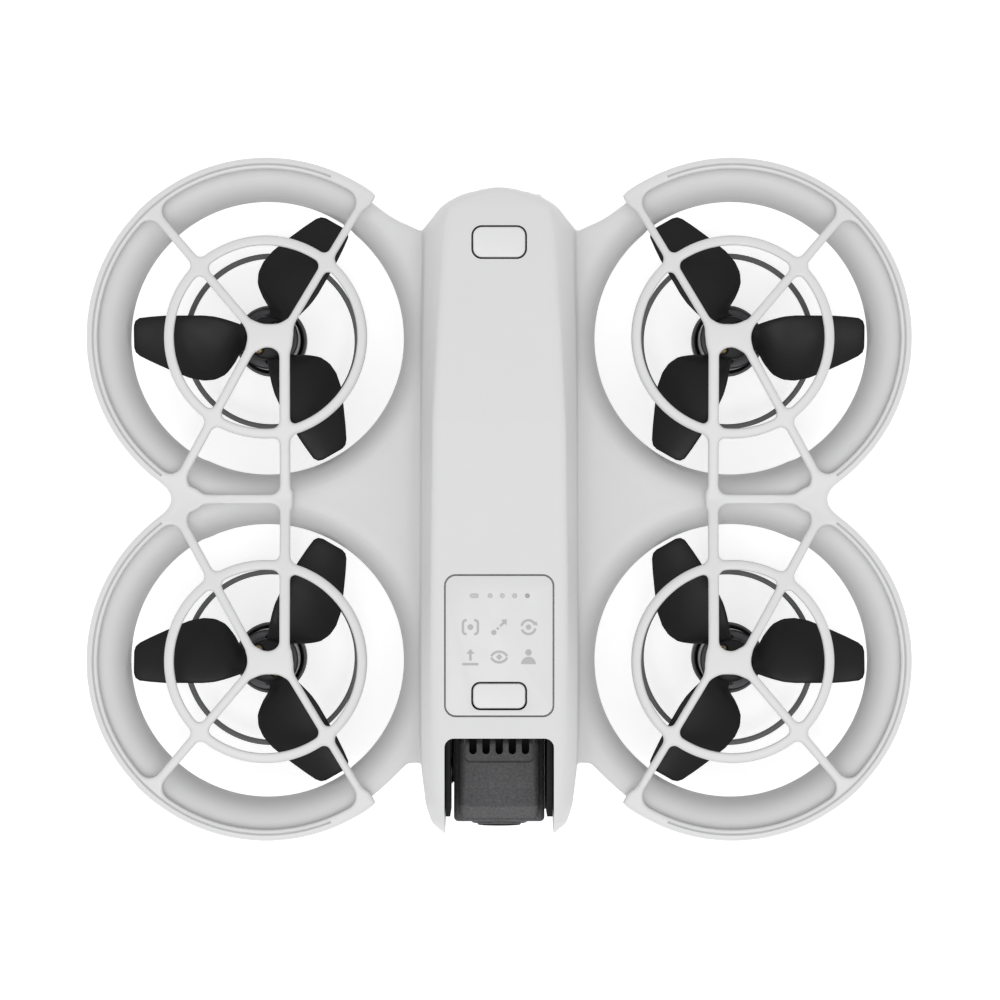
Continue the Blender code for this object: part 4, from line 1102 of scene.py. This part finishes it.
def controls():
    """Mode panel with its lamps and pictograms, the mode button and the power button."""
    top = PANEL_FACE
    outline = rounded(rectangle(*grown(PANEL, -0.34)), 1.9, 12)
    panel = plate("mode_panel_visual", outline, 47.25, top)
    hole = rounded(rectangle(*grown(MODE_BUTTON, 0.15)), 1.65, 12)
    cut_away(panel, plate("hole", hole, 40, 60))
    bevel(panel, 0.25, 3)
    lamp_y = -18.1
    lamps = [rounded(rectangle(-5.52, lamp_y - 0.4, -3.88, lamp_y + 0.4), 0.39, 8)]
    knives = [plate("pill", lamps[0], 48.2, 50)]
    dots = (-1.7, 0.6, 2.9, 5.3)
    knives += [rod("dot", (x, lamp_y, 48.25), (x, lamp_y, 50), 0.44, 32) for x in dots]
    cut_away(panel, *knives)
    own(panel, "airframe", "shell", INLAY)
    pill = rounded(rectangle(-5.5, lamp_y - 0.38, -3.9, lamp_y + 0.38), 0.37, 8)
    window = plate("level_window", pill, 48.0, 48.41)
    bevel(window, 0.06, 2)
    own(window, "airframe", "light", PALE_PRINT)
    for index, x in enumerate(dots):
        dot = rod(f"level_dot_{index + 1}", (x, lamp_y, 48.0), (x, lamp_y, 48.41), 0.42, 32)
        bevel(dot, 0.06, 2)
        own(dot, "airframe", "light", DARK_LAMP if index == 3 else PALE_PRINT)
    grid = (
        ("frame and dot", -5.4, -24.0), ("dot and arrow", 0.0, -24.0), ("circling arrow", 5.5, -24.0),
        ("take off", -5.4, -29.6), ("sway", 0.0, -29.6), ("person", 5.5, -29.6),
    )
    print_marks("mode_marks", grid, top - 0.1, top + 0.015, PRINT, "airframe")

    button = plate(
        "mode_button_visual", rounded(rectangle(*grown(MODE_BUTTON, -0.2)), 1.35, 12), 45.85, top + 0.02
    )
    bevel(button, 0.3, 4)
    own(button, "mode_button_body", "shell", BUTTON)
    power = plate(
        "power_button_visual", rounded(rectangle(*grown(POWER_BUTTON, -0.2)), 1.65, 12), POWER_TOP - 2.6,
        POWER_TOP,
    )
    bevel(power, 0.35, 4)
    own(power, "power_button_body", "shell", BUTTON)


# ---------------------------------------------------------------- tail, battery and underside


def tail():
    """USB port with its tongue, and the status lamp."""
    outer = rounded([(-4.5, 28.95), (4.5, 28.95), (4.5, 32.15), (-4.5, 32.15)], 1.5, 8)
    inner = rounded([(-4.15, 29.3), (4.15, 29.3), (4.15, 31.8), (-4.15, 31.8)], 1.2, 8)
    port = facing("usb_port_visual", outer, 51.0, 58.4)
    cut_away(port, facing("mouth", inner, 52.6, 60.0))
    tongue = [(-3.3, 30.2), (3.3, 30.2), (3.3, 30.9), (-3.3, 30.9)]
    merge(port, facing("tongue", tongue, 52.0, 57.4))
    bevel(port, 0.08, 2)
    own(port, "airframe", "steel", STEEL)
    lamp = rod("status_light_visual", (7.2, 55.0, 31), (7.2, 58.2, 31), 0.9, 40)
    bevel(lamp, 0.2, 3)
    own(lamp, "airframe", "light", LAMP)


def battery():
    """Case with end cap, finger grooves and lamps, and the two sprung buckles."""
    half, low, high, front, rear = 11.2, 4.0, 24.0, -6.0, 56.0
    outline = [
        (-half, front), (half, front), (half, rear - 1.2), (half - 1.6, rear), (-half + 1.6, rear),
        (-half, rear - 1.2),
    ]
    case = plate("battery_case_visual", outline, low, high)
    bevel(case, 0.5, 4)
    knives = [block("room", (-10.3, -8.0, 4.9), (10.3, 44.0, 23.1))]
    for side in (-1, 1):
        x = sorted((side * 8.2, side * 20.0))
        knives.append(block("pocket", (x[0], 47.7, 8.7), (x[1], 55.5, 19.3)))
        for z in (4.0, 24.0):
            knives.append(block("rail", (side * 7.0 - 0.5, -7.0, z - 0.3), (side * 7.0 + 0.5, 42.0, z + 0.3)))
    seam = 43.6
    for z0, z1 in ((3.0, 4.15), (23.85, 25.0)):
        knives.append(block("seam", (-12, seam - 0.12, z0), (12, seam + 0.12, z1)))
    for x0, x1 in ((-12.0, -11.05), (11.05, 12.0)):
        knives.append(block("seam", (x0, seam - 0.12, 3), (x1, seam + 0.12, 25)))
    for index in range(4):
        x = -3.3 + index * 2.2
        knives.append(rod("lamp", (x, 55.6, 19.5), (x, 57, 19.5), 0.5, 24))
    cut_away(case, *knives)
    own(case, "battery", "battery", BATTERY)
    for index in range(4):
        x = -3.3 + index * 2.2
        lamp = rod(f"charge_lamp_{index + 1}", (x, 55.4, 19.5), (x, 55.85, 19.5), 0.45, 24)
        own(lamp, "battery", "light", LAMP)
    for side, side_name in ((-1, "left"), (1, "right")):
        low_x, high_x = sorted((side * 9.8, side * 12.6))
        buckle = block(f"battery_buckle_{side_name}_visual", (low_x, 48.0, 9.0), (high_x, 55.2, 19.0))
        bevel(buckle, 0.5, 4)
        face = side * 12.6
        grooves = []
        for index in range(6):
            z = 10.9 + index * 1.24
            grooves.append(block("groove", (face - 0.35, 48.9, z - 0.28), (face + 0.35, 54.3, z + 0.28)))
        cut_away(buckle, *grooves)
        bevel(buckle, 0.08, 2, 50)
        own(buckle, f"{side_name}_buckle", "battery", BATTERY)


def underside():
    """Downward camera, infrared window, feet and shell screws."""
    lens = [
        (3.0, 6.0), (3.0, 2.0), (2.7, 1.65), (2.3, 1.65), (2.1, 1.85), (1.9, 2.4), (1.2, 2.15), (0.0, 2.05), (
            0.0, 6.0,
        ),
    ]
    piece = turned("ground_camera_visual", lens, (0, -24.0), 64)
    own(piece, "airframe", "glass", GLASS)
    window = plate("infrared_sensor_visual", rounded(rectangle(-4.0, -38.0, 4.0, -34.0), 0.5), 1.9, 4.6)
    domes = [rod("dome", (x, -36.0, 1.75), (x, -36.0, 3.0), 1.1, 48) for x in (-2.0, 2.0)]
    merge(window, *domes)
    bevel(window, 0.2, 3)
    own(window, "airframe", "glass", GLASS)
    for name, front in (("front_foot", -32.5), ("rear_foot", 36.0)):
        outline = rounded(rectangle(-9.0, front, 9.0, front + 3.5), 1.2, 8)
        foot = plate(f"{name}_visual", outline, 0.0, 1.6)
        bevel(foot, 0.35, 3)
        grooves = []
        for x in (-5.4, -2.7, 0.0, 2.7, 5.4):
            grooves.append(block("groove", (x - 0.2, front - 1, -0.2), (x + 0.2, front + 5, 0.25)))
        cut_away(foot, *grooves)
        own(foot, "airframe", "rubber", RUBBER)
    for index, (x, y) in enumerate(BOSSES):
        head = [(0.0, 2.05), (0.9, 2.0), (1.3, 2.35), (1.3, 3.3), (0.6, 3.3), (0.6, 22.0), (0.0, 22.0)]
        screw = turned(f"shell_screw_{index + 1}_visual", head, (x, y), 40)
        cut_away(screw, *cross(x, y, 0.7, 0.16, 1.0, 2.6))
        own(screw, "airframe", "steel", STEEL)


HIDDEN = {
    "main_board": BOARD, "image_sensor_board": BOARD, "heat_sink": STEEL, "battery_connector": BLACK,
    "battery_terminal": BLACK, "battery_cell_lower": CELL, "battery_cell_upper": CELL, "mode_switch": BLACK,
    "power_switch": BLACK, "level_light_guide": LAMP,
}
for node, material in HIDDEN.items():
    piece = frame["nodes"][node]
    piece.data.materials.clear()
    piece.data.materials.append(material)

upper, lower = shells()
cut_shells(upper, lower)
for shell in (upper, lower):
    thin_out(shell, SHELL_TRIANGLES)
own(upper, "airframe", "shell", SHELL)
own(lower, "airframe", "shell", SHELL)
for side, side_name in ((-1, "left"), (1, "right")):
    guard = guard_skin(f"{side_name}_guard_visual", side)
    for end in (-1, 1):
        start, last = (-53, 112) if side > 0 else (233, 68)
        centre = side * DUCT_X, end * DUCT_Y
        cut_away(guard, rim_groove("rim_groove", centre, end * start, end * last))
    own(guard, f"{side_name}_guard_body", "guard", GUARD, 50)
for place in CORNERS:
    lower_frame(*place)
    rotor(*place)
camera_head()
bay_details()
controls()
tail()
battery()
underside()


# ---------------------------------------------------------------- camera, light, floor

VIEW_WIDTH = 0.19114
camera_data = bpy.data.cameras.new("camera")
camera_data.angle = 2 * math.atan(VIEW_WIDTH / 2)
camera = bpy.data.objects.new("camera", camera_data)
camera.location = (0.000153, -0.000143, 1.030)
bpy.context.scene.collection.objects.link(camera)
bpy.context.scene.camera = camera

floor = block("floor", (-2000, -2000, -20), (2000, 2000, 0))
white = bpy.data.materials.new("floor")
white.use_nodes = True
floor_shader = white.node_tree.nodes["Principled BSDF"]
floor_shader.inputs["Base Color"].default_value = (0.7, 0.7, 0.7, 1)
floor_shader.inputs["Roughness"].default_value = 0.9
floor_shader.inputs["Emission Color"].default_value = (1, 1, 1, 1)
floor_shader.inputs["Emission Strength"].default_value = 0.6
floor.data.materials.append(white)

world = bpy.data.worlds.new("studio")
bpy.context.scene.world = world
world.use_nodes = True
world.node_tree.nodes["Background"].inputs["Color"].default_value = (1, 1, 1, 1)
world.node_tree.nodes["Background"].inputs["Strength"].default_value = 0.88
bpy.context.scene.view_settings.view_transform = "Standard"


def area_light(name, place, target, size, power):
    data = bpy.data.lights.new(name, "AREA")
    data.shape = "DISK"
    data.size = size
    data.energy = power
    light = bpy.data.objects.new(name, data)
    light.location = place
    light.rotation_euler = (Vector(target) - Vector(place)).to_track_quat("-Z", "Y").to_euler()
    bpy.context.scene.collection.objects.link(light)


area_light("overhead", (0.0, -0.35, 1.2), (0, 0, 0), 0.9, 4.9)
